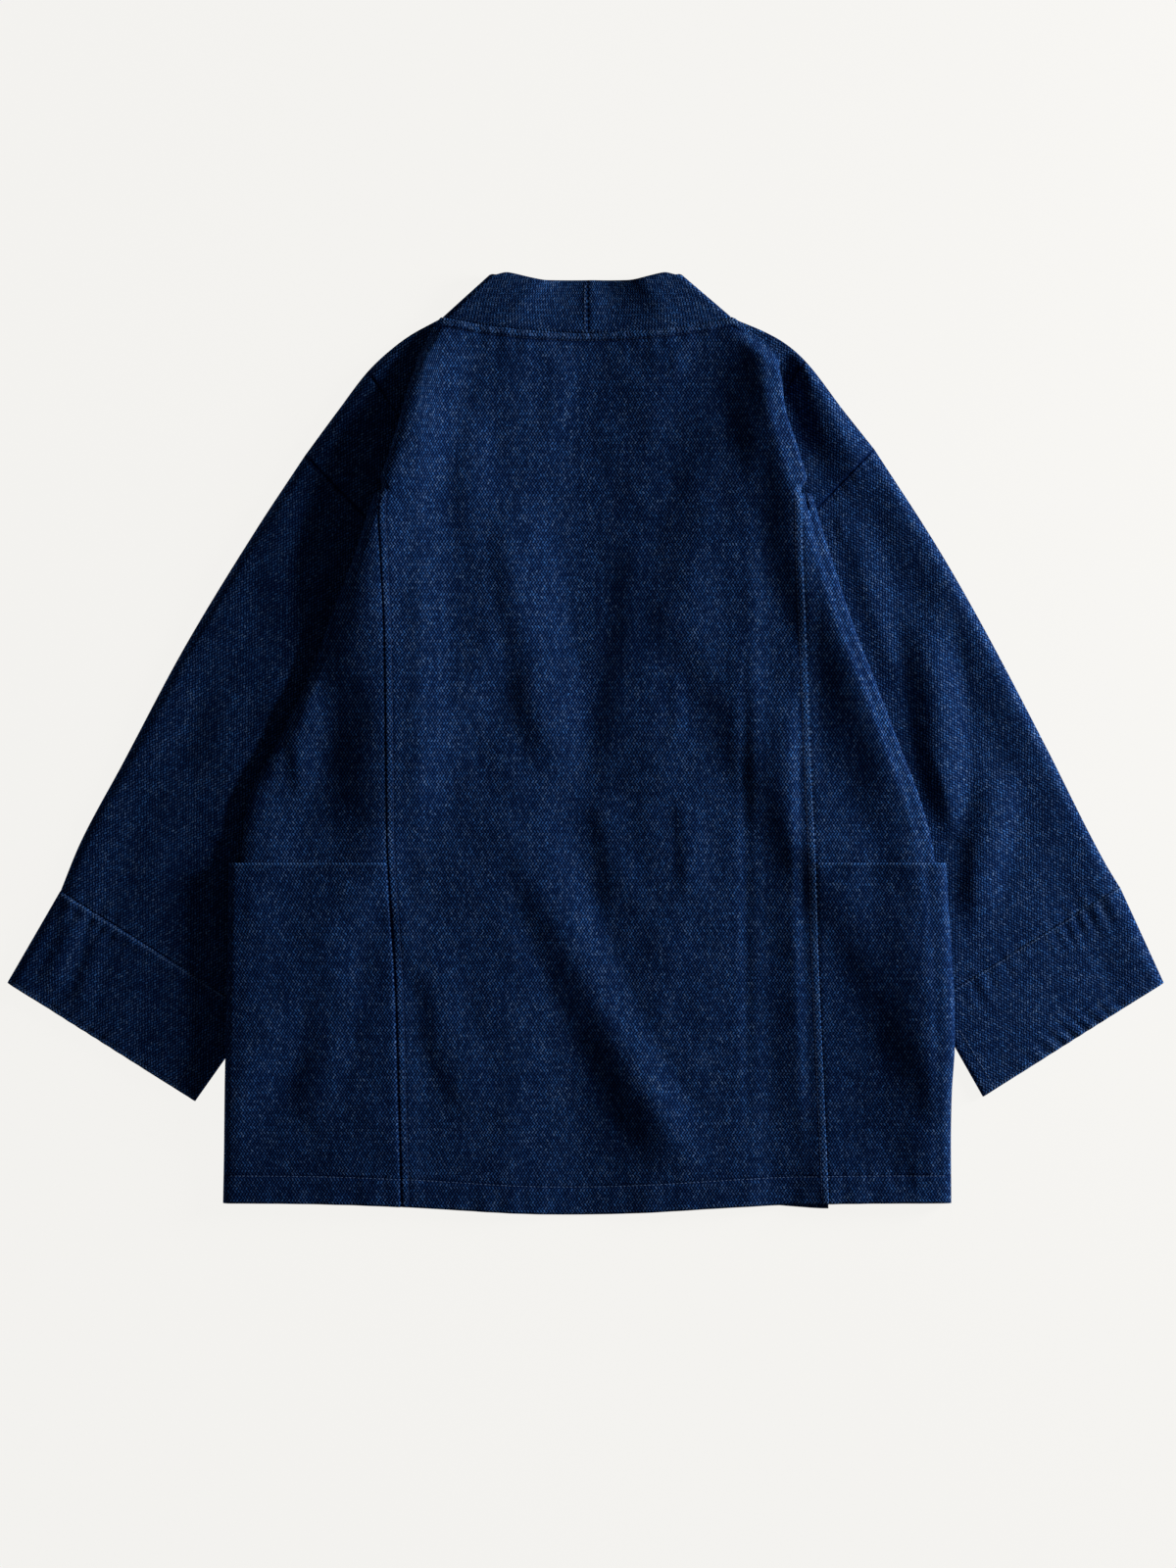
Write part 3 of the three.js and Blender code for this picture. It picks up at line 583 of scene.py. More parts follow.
def pocket_points(side):
    def upper(out, y, inward):
        x = side.sign * out
        inner = np.minimum(out, column(side.body, "edge", y) - side.bend)
        below = under_height(side, out, y) + POCKET_STEP * pocket_share(y)
        plain = np.maximum(upper_height(side, inner, y), below + APART)
        mouth = POCKET_TOP_Y - y
        gape = 0.5 * smooth(14, 0, mouth) * smooth(0, 30, inward)
        wave = pucker(x, mouth, 37, 1.9, 0.35, 20)
        return plain + POCKET_STEP + gape + wave - 0.4 * smooth(3, 0, inward) + hem_detail(x, y)

    def lower(out, y):
        return under_height(side, out, y)

    return wrapped_points(side, body_rows(2), side.pocket_inset, side.pocket, upper, lower)


def flat_tube_points(side, outer, inner_low, inner_high, thickness, closed, detail):
    """Rows of a flattened tube: along the lower layer to the outer edge and back along the upper one."""
    over, under = SLEEVE_POINTS if closed else SHOULDER_POINTS
    low = thickness / 2
    high = low + thickness + TUBE_AIR
    radius = (high - low) / 2
    turn_in = radius / lengths(outer - inner_low)[:, None]
    reach_in = turn_in * closed
    halves = even(6)[:, 1:-1]

    def at(inner, share):
        return outer[:, None] + (inner[:, None] - outer[:, None]) * share[..., None]

    def upper_z(p):
        x, y = side.sign * p[..., 0], p[..., 1]
        beside = np.where(y < POCKET_TOP_Y + 20, column(side.pocket, "edge", y), 0)
        edge = np.maximum(column(side.body, "edge", y), beside)
        clear = np.where(y > side.body["y"][0], 0, smooth(5, 26, p[..., 0] - edge))
        rim = lengths(p - outer[:, None])
        puff = PUFF * smooth(0, 6, rim) * smooth(46, 7, rim) * (0.5 + 0.5 * smooth(-90, 80, y))
        folds = fold_height(SLEEVE_FOLDS, x, y) + fold_height(SLEEVE_CREASES, x, y)
        uneven = 0.25 + 0.25 * ripple(x, y, 44, 8)
        return high + clear * (folds + puff + uneven + detail(rim))

    lower = at(inner_low, mix(1 - reach_in, turn_in, even(under)))
    bend = at(inner_low, turn_in * (1 - np.sin(math.pi * halves)))
    upper = at(inner_high, mix(turn_in, 1 - reach_in, even(over)))
    z_bend = np.broadcast_to(low + radius - radius * np.cos(math.pi * halves), bend.shape[:2])
    parts = [lower, bend, upper]
    heights = [np.full(lower.shape[:2], low), z_bend, upper_z(upper)]
    if closed:
        parts += [at(inner_low, 1 - reach_in * (1 - np.sin(math.pi * halves))), lower[:, :1]]
        heights += [z_bend[:, ::-1], np.full((len(outer), 1), low)]
    plan = np.concatenate(parts, 1)
    points = np.concatenate([plan, np.concatenate(heights, 1)[..., None]], -1)
    points[..., 0] *= side.sign
    return points


def sleeve_points(side):
    share = cells((8, FINE), (14, 1.8), (SLEEVE_LENGTH, PLAIN)) / SLEEVE_LENGTH
    share = mix(-SEAM_LAP, 1, share)
    down = (share * SLEEVE_LENGTH)[:, None]
    outer = curve_of(side.sleeve, share)
    inner = between(side.armhole_end, side.cuff_seam_end, share)

    def detail(rim):
        cap = sewn(down, SLEEVE_STITCH, 0.5, 0.4) - 0.5 * bell(down, 1.2)
        cap = cap + pucker(rim, down - 3, 9, 0.4, 0.4, 9)
        return cap + pucker(rim, SLEEVE_LENGTH - down, 15, 3.3, 0.5, 14)

    return flat_tube_points(side, outer, inner, inner, CLOTH, True, detail)


def cuff_points(side):
    share = cells((6, FINE), (CUFF_LENGTH - 10, PLAIN), (CUFF_LENGTH, FINE)) / CUFF_LENGTH
    share = mix(-SEAM_LAP, 1, share)
    down = (share * CUFF_LENGTH)[:, None]
    outer = between(side.sleeve[-1], side.cuff_outer, share)
    inner = between(side.cuff_seam_end, side.cuff_inner, share)

    def detail(rim):
        turned = 0.45 * smooth(0, 2.5, down) * smooth(CUFF_TURN + 1.5, CUFF_TURN - 1.5, down)
        seam = turned - 0.6 * bell(down, 1.6) - 0.4 * bell(down - CUFF_TURN, 1.4)
        seam = seam + pucker(rim, down - CUFF_TURN, 13, 3.3, 0.7, 12)
        edge = pucker(rim + 0.5 * down, CUFF_LENGTH - down, 14, 1.1, 0.8, 17)
        return seam + edge - 0.4 * bell(CUFF_LENGTH - down - CUFF_STITCH, 1.2)

    return flat_tube_points(side, outer, inner, inner, CUFF_CLOTH, True, detail)


def shoulder_points(side, beside_neck):
    split = side.panel_seam_share
    share = np.linspace(*((0, split + SEAM_LAP, 26) if beside_neck else (split - SEAM_LAP, 1, 34)))
    outer = curve_of(side.shoulder, share)
    if beside_neck:
        inner = between((BAND_OUTER + 1.2, SHOULDER_FOOT), side.panel_seam_end, share / split)
        high = outer + (inner - outer) * 0.6
    else:
        inner = between(side.panel_seam_end, side.armhole_end, (share - split) / (1 - split))
        high = inner
    length = lengths(outer[-1] - outer[0])
    down = np.linspace(0, length, len(share))[:, None]

    def detail(_):
        return sewn(length - down, 3, 0.5, 0.3) if beside_neck else -0.5 * smooth(3, 0, down)

    return flat_tube_points(side, outer, inner, high, CLOTH, False, detail)


def front_points(side):
    t = body_rows(1)
    top = FRONT_TOP_ROWS[:, None]
    seam_hem = column(side.body, "seam", HEM_SIDE_Y)
    across = even(FRONT_POINTS)

    def rows(y_of):
        y_row = y_of(BAND_OUTER + 0 * across[:, :1])
        seam = column(side.body, "seam", y_row)
        tucked = column(side.body, "edge", y_row) - 2 * PLEAT_TURN
        outer = np.minimum(seam, mix(seam, tucked, smooth(APEX_Y - 2, APEX_Y + PLEAT_TURN_IN, y_row)))
        out = mix(BAND_OUTER, outer, across)
        y = y_of(out)
        rise = POCKET_STEP * pocket_share(y_row) * smooth(seam - 26, seam - 3, out)
        return np.stack([side.sign * out, y, under_height(side, out, y) + rise], -1)

    def lower_y(out):
        hem = mix(side.front_hem[0], side.front_hem[1], smooth(BAND_OUTER, seam_hem, out))
        middle = mix(APEX_Y, POCKET_TOP_Y, np.clip(t - 1, 0, 1))
        return np.where(t <= 2, middle, mix(POCKET_TOP_Y, hem, np.clip(t - 2, 0, 1))) + 0 * out

    return np.concatenate([rows(lambda out: top + 0 * out), rows(lower_y)], 0)


# The band: its top edge at the middle, how far off the middle its seam is, and the turns at its ears
COLLAR_CENTRE_Y = 395.3
COLLAR_SEAM_X = 2
FOLD_INSET = 4
EAR_HIGH = 9.5
EAR_ROUND = 0.07
# Soft folds across the band: place, reach and height
BAND_FOLDS = [(-66, 12, 1.3), (7, 10, 1.2), (76, 11, 0.9)]


def collar_points(side):
    """Rows across the band: round the neck, over the diagonal turn at its ear and down to the hem."""
    half = BAND_CLOTH / 2
    start = COLLAR_SEAM_X * side.sign
    seam_end = np.array([side.neck_point[0] - FOLD_INSET, side.neck_point[1] - 1])
    top_end = np.array([side.ear[0] - FOLD_INSET, side.ear[1] - 1])
    seam_high = BAND_CLOTH + 0.6 + half
    across = even(BAND_POINTS)

    def strip(a, b, za, zb, crown, short):
        share = across * (1 - np.broadcast_to(short, len(a)))[:, None]
        flat = a[:, None] + (b - a)[:, None] * share[..., None]
        z = za[:, None] + (zb - za)[:, None] * across + crown
        return np.concatenate([flat, z[..., None]], -1)

    s = cells((8, FINE), (seam_end[0] - start, 2.2)) / (seam_end[0] - start)
    a = np.stack([mix(start, seam_end[0], s), 0 * s], -1)
    a[:, 1] = neck_line(a[:, 0])
    b = np.stack([mix(start, top_end[0], s), mix(COLLAR_CENTRE_Y, top_end[1], smooth(0.45, 1, s))], -1)
    x = side.sign * a[:, :1]
    folds = sum(height * bell(x - place, reach) for place, reach, height in BAND_FOLDS)
    crown = 0.7 * np.sin(math.pi * across) + folds * smooth(0, 0.5, across) - 0.8 * bell(across * 48, 2)
    crown = crown - 0.5 * bell((s * (seam_end[0] - start))[:, None], 1)
    low_half = mix(half + 0.3, seam_high, smooth(0.15, 0.6, s))
    top_high = mix(half + 0.5, EAR_HIGH, smooth(0.2, 0.8, s))
    neck = strip(a, b, low_half, top_high, crown + 0.9, EAR_ROUND * smooth(0.86, 1, s) ** 2)
    neck[..., 2] = np.maximum(neck[..., 2], half)
    along = (top_end - seam_end) / lengths(top_end - seam_end)
    outward = np.array([along[1], -along[0]])
    angle = math.pi * np.linspace(0, 1, 12)[1:-1]

    def swing(p, high):
        return p + outward * (min(FOLD_INSET, (high - half) / 2) * np.sin(angle))[:, None]

    def level(high):
        return (high + half) / 2 + (high - half) / 2 * np.cos(angle)

    rest = 0.7 * np.sin(math.pi * across) * (1 - np.linspace(0, 1, len(angle)))[:, None]
    ear_turn = top_end + 0.4 * (swing(top_end, EAR_HIGH) - top_end)
    turned_in = EAR_ROUND * (1 + 0.7 * np.sin(angle))
    turn = strip(swing(seam_end, seam_high), ear_turn, level(seam_high), level(EAR_HIGH), rest, turned_in)
    top = np.linspace(0, 1, 40)[:-1]
    lower = row_y(side, body_rows(1), BAND_OUTER)[:, 0]
    shorter = (side.front_hem[0] - POCKET_TOP_Y) / (hem_line(side.sign * BAND_OUTER) - POCKET_TOP_Y)
    lower = np.where(lower < POCKET_TOP_Y, mix(POCKET_TOP_Y, lower, shorter), lower)
    seam_y = np.concatenate([mix(seam_end[1], FRONT_TOP_Y, top), FRONT_TOP_ROWS, lower])
    top_y = np.concatenate([mix(top_end[1], FRONT_TOP_Y, top), FRONT_TOP_ROWS, lower])
    settle = smooth(seam_end[1], seam_end[1] - 120, seam_y)
    a = np.stack([mix(seam_end[0], BAND_OUTER, settle), seam_y], -1)
    b = np.stack([mix(top_end[0], BAND_INNER, settle), top_y], -1)
    front = strip(a, b, 0 * seam_y, 0 * seam_y, 0.0, EAR_ROUND * smooth(top_end[1] - 12, top_end[1], top_y))
    front[..., 2] = half + lift(side, front[..., 0], front[..., 1])
    points = np.concatenate([neck, turn, front], 0)
    points[..., 0] *= side.sign
    return points


def hem_wear_and_shade(points):
    """Paler yarn where the hem's edge is worn, and painted shade in the groove of its stitches."""
    up = points[..., 1] - hem_line(points[..., 0])
    return 0.5 * bell(up, 2.2) - 0.35 * bell(up - HEM_DEPTH, 1.5)


def back_wear_and_painted_light(points):
    """How worn the seams, the neck and the hem of the back are, with painted light and shade, each half by
    its own side's lines.
    """
    worn_and_painted = []
    for side in SIDES:
        out, y = side.sign * points[..., 0], points[..., 1]
        inward = column(side.body, "seam", y) - out
        # Along a long seam the raised allowance is paler with wear.
        seam = 0.3 * smooth(-1, 1, inward) * smooth(SEAM_ALLOWANCE, SEAM_ALLOWANCE - 2, inward)
        # Its stitch groove gets painted shade, and its lapped edge a painted shadow on the left side and a
        # painted highlight on the right.
        seam = seam - 0.3 * bell(inward - SEAM_ALLOWANCE, 1.2) + side.seam_edge_painted_light * bell(inward, 1)
        down = back_top(side, np.abs(out)) - y
        # At the neck the raised allowance is paler with wear, and the stitch groove gets painted shade.
        neck = 0.45 * smooth(NECK_ALLOWANCE, NECK_ALLOWANCE - 2.5, down)
        neck = neck - 0.6 * bell(down - NECK_ALLOWANCE, 1.4)
        at_neck = smooth(side.neck_point[0] + 10, side.neck_point[0] - 4, out)
        worn_and_painted.append(seam * below_apex(y) + neck * at_neck + hem_wear_and_shade(points))
    return np.where(points[..., 0] < 0, worn_and_painted[0], worn_and_painted[1])


def panel_wear_and_shade(side, points):
    """How worn the side panel's and the pocket's seam edge and hem are, with painted shade in the hem's
    stitch groove.
    """
    inward = side.sign * points[..., 0] - column(side.body, "seam", points[..., 1])
    return 0.3 * bell(inward, 1.6) + hem_wear_and_shade(points)


def strip_wear_and_shade(points, first, last, reach):
    """Yarn made paler or darker by given amounts along the first and the last row of a piece, for wear and
    for painted shade at a seam.
    """
    along = run_of(lengths(np.diff(points.mean(axis=1), axis=0)))
    worn_and_painted = first * bell(along, reach) + last * bell(along[-1] - along, reach)
    return np.broadcast_to(worn_and_painted[:, None], points.shape[:2])


def grain_of(points, middle, tilt=None):
    """Where each point lies on the flat cloth: u across the weave and v along it. The cloth is straight
    at the middle column. With a tilt, the columns before that one are its lower layer, opened out."""
    steps = np.linalg.norm(np.diff(points, axis=1), axis=-1)
    u = np.concatenate([np.zeros((len(points), 1)), np.cumsum(steps, 1)], 1)
    if tilt is None:
        u = u - u[:, middle : middle + 1] + points[:, middle : middle + 1, 0]
        return np.stack([u, points[..., 1]], -1)
    across = np.array([math.cos(tilt), math.sin(tilt)])
    down = np.array([-math.sin(tilt), math.cos(tilt)])
    start = points[:, middle : middle + 1, :2] @ across
    plan_u = points[..., :2] @ across
    beyond = np.arange(points.shape[1])[None, :] < middle
    flat_u = np.where(beyond, 2 * start - plan_u, plan_u)
    return np.stack([flat_u, points[..., :2] @ down], -1)


def band_grain(points):
    """The place on the band's cloth: u along the band and v across it."""
    along = np.linalg.norm(np.diff(points[:, 0], axis=0), axis=-1)
    across = np.linalg.norm(np.diff(points, axis=1), axis=-1)
    u = run_of(along)[:, None] + np.zeros(points.shape[1])
    v = np.concatenate([np.zeros((len(points), 1)), np.cumsum(across, 1)], 1)
    return np.stack([u, v], -1)


def placed(name, data):
    """A new object in the scene."""
    thing = bpy.data.objects.new(name, data)
    bpy.context.collection.objects.link(thing)
    return thing


def fill(mesh, bm, material):
    """Put finished faces into a mesh, smoothly shaded."""
    for face in bm.faces:
        face.smooth = True
    bm.to_mesh(mesh)
    bm.free()
    mesh.materials.append(material)


def cloth_shell(name, points, grain, thickness, material, closed, wear_and_painted_light):
    """A grid of cloth laid on rows of points, with its place on the weave, and thickened both ways."""
    rows, columns = points.shape[:2]
    bm = bmesh.new()
    bm.loops.layers.uv.new("Grain")
    bmesh.ops.create_grid(bm, x_segments=columns - 1, y_segments=rows - 1, size=0.5, calc_uvs=True)
    mesh = bpy.data.meshes.new(name)
    bm.to_mesh(mesh)
    bm.free()
    flat = np.empty(len(mesh.vertices) * 3)
    mesh.vertices.foreach_get("co", flat)
    flat = flat.reshape(-1, 3)
    column_of = np.rint((flat[:, 0] + 0.5) * (columns - 1)).astype(int)
    row_of = np.rint((flat[:, 1] + 0.5) * (rows - 1)).astype(int)
    mesh.vertices.foreach_set("co", (points[row_of, column_of] * MM).ravel())
    corners = np.empty(len(mesh.loops), int)
    mesh.loops.foreach_get("vertex_index", corners)
    on_cloth = grain[row_of, column_of] * MM
    mesh.uv_layers["Grain"].data.foreach_set("uv", on_cloth[corners].ravel())
    # Per point: paler yarn where worn, and painted highlights and shade along seams and stitch grooves
    worn_and_painted = np.zeros(len(flat)) if wear_and_painted_light is None else wear_and_painted_light[row_of, column_of]
    mesh.attributes.new("WearAndPaintedLight", "FLOAT", "POINT").data.foreach_set("value", worn_and_painted)
    bm = bmesh.new()
    bm.from_mesh(mesh)
    if closed:
        bmesh.ops.remove_doubles(bm, verts=bm.verts, dist=0.02 * MM)
        bmesh.ops.recalc_face_normals(bm, faces=bm.faces)
    fill(mesh, bm, material)
    piece = placed(name, mesh)
    wall = piece.modifiers.new("Wall", "SOLIDIFY")
    wall.thickness = thickness * MM
    wall.offset = 0
    wall.use_rim = True
    wall.use_even_offset = False
    return piece


class Graph:
    """Short calls for building a material's nodes."""

    def __init__(self, name):
        self.material = bpy.data.materials.new(name)
        self.material.use_nodes = True
        self.tree = self.material.node_tree
        self.shader = self.tree.nodes["Principled BSDF"]

    def node(self, kind, **settings):
        node = self.tree.nodes.new(kind)
        for key, value in settings.items():
            setattr(node, key, value)
        return node

    def feed(self, socket, value):
        if hasattr(value, "is_output") and value.is_output:
            self.tree.links.new(value, socket)
        else:
            socket.default_value = value

    def math(self, operation, *values):
        node = self.node("ShaderNodeMath", operation=operation)
        for socket, value in zip(node.inputs, values):
            self.feed(socket, value)
        return node.outputs[0]

    def add(self, total, *others):
        for other in others:
            total = self.math("ADD", total, other)
        return total

    def times(self, total, *others):
        for other in others:
            total = self.math("MULTIPLY", total, other)
        return total

    def less(self, value, amount):
        """The value with the amount taken off."""
        return self.math("SUBTRACT", value, amount)

    def vector(self, x, y, z=0.0):
        node = self.node("ShaderNodeCombineXYZ")
        for socket, value in zip(node.inputs, (x, y, z)):
            self.feed(socket, value)
        return node.outputs[0]

    def noise(self, vector, scale, detail=2.0, roughness=0.5):
        node = self.node("ShaderNodeTexNoise")
        self.feed(node.inputs["Vector"], vector)
        node.inputs["Scale"].default_value = scale
        node.inputs["Detail"].default_value = detail
        node.inputs["Roughness"].default_value = roughness
        return node.outputs[0]

    def ramp(self, value, low, high, to_low=0.0, to_high=1.0):
        node = self.node("ShaderNodeMapRange", interpolation_type="SMOOTHSTEP")
        self.feed(node.inputs["Value"], value)
        for name, setting in zip(("From Min", "From Max", "To Min", "To Max"), (low, high, to_low, to_high)):
            self.feed(node.inputs[name], setting)
        return node.outputs[0]

    def drift(self, place, scale, detail, reach):
        """A soft wandering to both sides of zero."""
        return self.times(self.less(self.noise(place, scale, detail), 0.5), reach)

    def surface(self, settings):
        """Values that are the same all over, on the shader's own sockets."""
        for name, value in settings.items():
            self.shader.inputs[name].default_value = value

    def blend(self, share, first, second):
        node = self.node("ShaderNodeMix", data_type="RGBA")
        self.feed(node.inputs[0], share)
        self.feed(node.inputs[6], first)
        self.feed(node.inputs[7], second)
        return node.outputs[2]


# The weave: slanting stitches of pale thread in rows, each row leaning the other way
STITCH_PITCH = 2.75
STITCH_ROW = 2.5
STITCH_LEAN = 0.44
GROUND = (0.0003, 0.0052, 0.0340, 1)
GROUND_DEEP = (0.0001, 0.0016, 0.0120, 1)
THREAD = (0.0100, 0.0420, 0.1600, 1)
THREAD_PALE = (0.0850, 0.1680, 0.3550, 1)
THREAD_COOL = (0.0400, 0.1330, 0.3800, 1)
SHEEN = (0.12, 0.30, 0.85, 1)


def woven(name, shade=1.0):
    """Cloth whose weave follows each point's place on the flat cloth, in millimetres."""
    g = Graph(name)
    place = g.node("ShaderNodeVectorMath", operation="SCALE")
    g.feed(place.inputs[0], g.node("ShaderNodeUVMap", uv_map="Grain").outputs[0])
    place.inputs["Scale"].default_value = 1 / MM
    flat = place.outputs[0]
    split = g.node("ShaderNodeSeparateXYZ")
    g.feed(split.inputs[0], flat)
    across, along = split.outputs[0], split.outputs[1]
    turned = g.vector(along, across, 9.0)
    u = g.add(across, g.drift(flat, 0.05, 2.0, 2.4), g.drift(flat, 0.42, 1.0, 0.8))
    v = g.add(along, g.drift(turned, 0.06, 2.0, 1.4), g.drift(turned, 0.42, 1.0, 0.6))

    # Each stitch is a cell of its row, with a chance of its own
    rows = g.math("DIVIDE", v, STITCH_ROW)
    row = g.math("FLOOR", rows)
    up = g.less(g.math("FRACT", rows), 0.5)
    odd = g.math("FLOORED_MODULO", row, 2.0)
    lean = g.times(g.less(odd, 0.5), 2 * STITCH_LEAN, up)
    cells_u = g.add(g.math("DIVIDE", u, STITCH_PITCH), g.times(odd, 0.5), lean)
    off = g.math("ABSOLUTE", g.less(g.math("FRACT", cells_u), 0.5))
    chance = g.node("ShaderNodeTexWhiteNoise", noise_dimensions="2D")
    g.feed(chance.inputs["Vector"], g.vector(g.math("FLOOR", cells_u), row))
    luck = chance.outputs["Value"]
    width = g.ramp(off, 0.08, g.add(0.24, g.times(luck, 0.12)), 1.0, 0.0)
    stitch = g.times(width, g.ramp(g.math("ABSOLUTE", up), 0.34, 0.5, 1.0, 0.0))

    # Fading: in streaks along the cloth, in bars across it, in clouds, and by a per-point amount for wear
    # and painted light
    # That amount pales worn edges and paints highlights and shade along seams, stitch grooves and pocket
    # mouths
    fibre = g.noise(g.vector(g.times(across, 2.2), along), 1.4, 3.0, 0.7)
    streak = g.noise(g.vector(across, g.times(along, 0.12)), 0.24, 4.0, 0.7)
    cloud = g.noise(flat, 0.02, 4.0, 0.6)
    bar = g.noise(g.vector(g.times(across, 0.1), along), 0.3, 3.0, 0.6)
    fade = g.add(
        g.times(g.ramp(streak, 0.3, 0.7), 0.3),
        g.times(g.ramp(cloud, 0.3, 0.7), 0.1),
        g.times(g.ramp(bar, 0.35, 0.65), 0.16),
        0.5,
        g.node("ShaderNodeAttribute", attribute_name="WearAndPaintedLight").outputs["Fac"],
    )
    vivid = g.add(g.ramp(luck, 0.0, 1.0, 0.62, 0.95), g.ramp(luck, 0.9, 1.0, 0.0, 0.3))
    glow = g.times(vivid, fade, shade)
    hue = g.node("ShaderNodeSeparateColor")
    g.feed(hue.inputs[0], chance.outputs["Color"])
    pale = g.blend(g.ramp(hue.outputs[1], 0.3, 0.8), THREAD_COOL, THREAD_PALE)
    yarn = g.blend(g.ramp(glow, 0.25, 1.2), THREAD, pale)
    base = g.blend(g.ramp(fibre, 0.35, 0.7), GROUND_DEEP, GROUND)
    base = g.blend(g.times(fade, 0.08), base, THREAD)
    colour = g.blend(g.times(stitch, g.ramp(glow, 0.0, 0.8, 0.2, 1.0)), base, yarn)
    g.feed(g.shader.inputs["Base Color"], colour)
    g.feed(g.shader.inputs["Roughness"], g.ramp(fibre, 0.2, 0.8, 0.82, 0.98))
    bump = g.node("ShaderNodeBump")
    bump.inputs["Strength"].default_value = 0.3
    bump.inputs["Distance"].default_value = 0.5 * MM
    g.feed(bump.inputs["Height"], g.add(stitch, g.times(fibre, 0.5)))
    g.feed(g.shader.inputs["Normal"], bump.outputs[0])
    g.surface({"Sheen Weight": 0.012, "Sheen Roughness": 0.5, "Sheen Tint": SHEEN})
    g.surface({"Specular IOR Level": 0.02})
    return g.material


def sewing_thread(name, dark, light):
    """Thread with a fine grain, between two colours."""
    g = Graph(name)
    grain = g.noise(g.node("ShaderNodeTexCoord").outputs["Object"], 2400, 2.0)
    g.feed(g.shader.inputs["Base Color"], g.blend(grain, dark, light))
    g.surface({"Roughness": 0.8, "Specular IOR Level": 0.25})
    return g.material


cloths = {
    "body_cloth": woven("indigo body cloth"),
    "sleeve_cloth": woven("indigo sleeve cloth"),
    "pocket_cloth": woven("indigo pocket cloth", 0.95),
    "collar_cloth": woven("indigo collar cloth", 1.1),
}
thread = sewing_thread("sewing thread", (0.006, 0.020, 0.065, 1), (0.030, 0.065, 0.160, 1))
cloth_ridge = sewing_thread("gathered cloth", (0.004, 0.016, 0.060, 1), (0.024, 0.065, 0.190, 1))
pale_thread = sewing_thread("faded sewing thread", (0.030, 0.070, 0.180, 1), (0.100, 0.170, 0.320, 1))

# The sleeves' weave runs along them. A flattened tube's outer edge is at this column of its points.
SLEEVE_TILT = math.atan2(0.489, 0.872)
SLEEVE_EDGE = SLEEVE_POINTS[1] + 2
SHOULDER_EDGE = SHOULDER_POINTS[1] + 2

grids = {}


def dress(node, points, grain, slot, wear_and_painted_light=None, thickness=CLOTH, closed=False):
    """One piece of cloth: its shell, and what it stands for in the frame."""
    piece = cloth_shell(f"{node}_cloth", points, grain, thickness, cloths[slot], closed, wear_and_painted_light)
    grids[node] = points
    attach(piece, "root")
    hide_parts(node)


back = back_centre_points()
dress(
    "back_centre", back, grain_of(back, back.shape[1] // 2), "body_cloth",
    back_wear_and_painted_light(back),
)
for side in SIDES:
    word = side.word
    tilt = side.sign * SLEEVE_TILT
    panel = side_panel_points(side)
    dress(
        f"side_panel_{word}", panel, grain_of(panel, 0), "body_cloth",
        panel_wear_and_shade(side, panel),
    )
    pocket = pocket_points(side)
    # The pocket mouth is a worn, paler fold, brightened further by a painted highlight along its edge.
    mouth_wear_and_highlight = 1.9 * bell(POCKET_TOP_Y - pocket[..., 1], 1.6)
    dress(
        f"pocket_{word}", pocket, grain_of(pocket, 0), "pocket_cloth",
        panel_wear_and_shade(side, pocket) + mouth_wear_and_highlight,
    )
    front = front_points(side)
    dress(
        f"front_{word}", front, grain_of(front, 0), "body_cloth",
    )
    collar = collar_points(side)
    dress(
        f"collar_{word}", collar, band_grain(collar), "collar_cloth",
        thickness=BAND_CLOTH,
    )
    for part, flat, area in (("centre", (0.12, 0.12), 0.0068), ("side", (0.2, 0.2), 0.022)):
        shoulder = shoulder_points(side, part == "centre")
        # Painted shade darkens the shoulder piece's last row, along its seam.
        dress(
            f"{part}_shoulder_{word}", shoulder, grain_of(shoulder, SHOULDER_EDGE, tilt), "body_cloth",
            strip_wear_and_shade(shoulder, 0, -0.7, 1.5),
        )
    sleeve = sleeve_points(side)
    # Painted shade darkens the sleeve's first row, along the armhole seam; its last row is a little paler.
    dress(
        f"sleeve_{word}", sleeve, grain_of(sleeve, SLEEVE_EDGE, tilt), "sleeve_cloth",
        strip_wear_and_shade(sleeve, -0.7, 0.2, 1.5), closed=True,
    )
    cuff = cuff_points(side)
    dress(
        f"cuff_{word}", cuff, grain_of(cuff, SLEEVE_EDGE, tilt), "sleeve_cloth",
        strip_wear_and_shade(cuff, 0.3, 0.6, 2.5), CUFF_CLOTH, True,
    )


# Stitches: small rounded grains of thread laid on the cloth
SEWN_HEIGHT = 0.5
SEWN_STEP = 3.5
SEWN_MARGIN = 1.2


def height_tree(*nodes):
    """A search tree of the faces of some pieces of cloth, to find their height at a place."""
    points, faces = [], []
    for grid in (grids[node] for node in nodes):
        index = len(points) + np.arange(grid.shape[0] * grid.shape[1]).reshape(grid.shape[:2])
        points.extend(grid.reshape(-1, 3).tolist())
        corners = [index[:-1, :-1], index[:-1, 1:], index[1:, 1:], index[1:, :-1]]
        faces.extend(np.stack(corners, -1).reshape(-1, 4).tolist())
    return BVHTree.FromPolygons(points, faces)


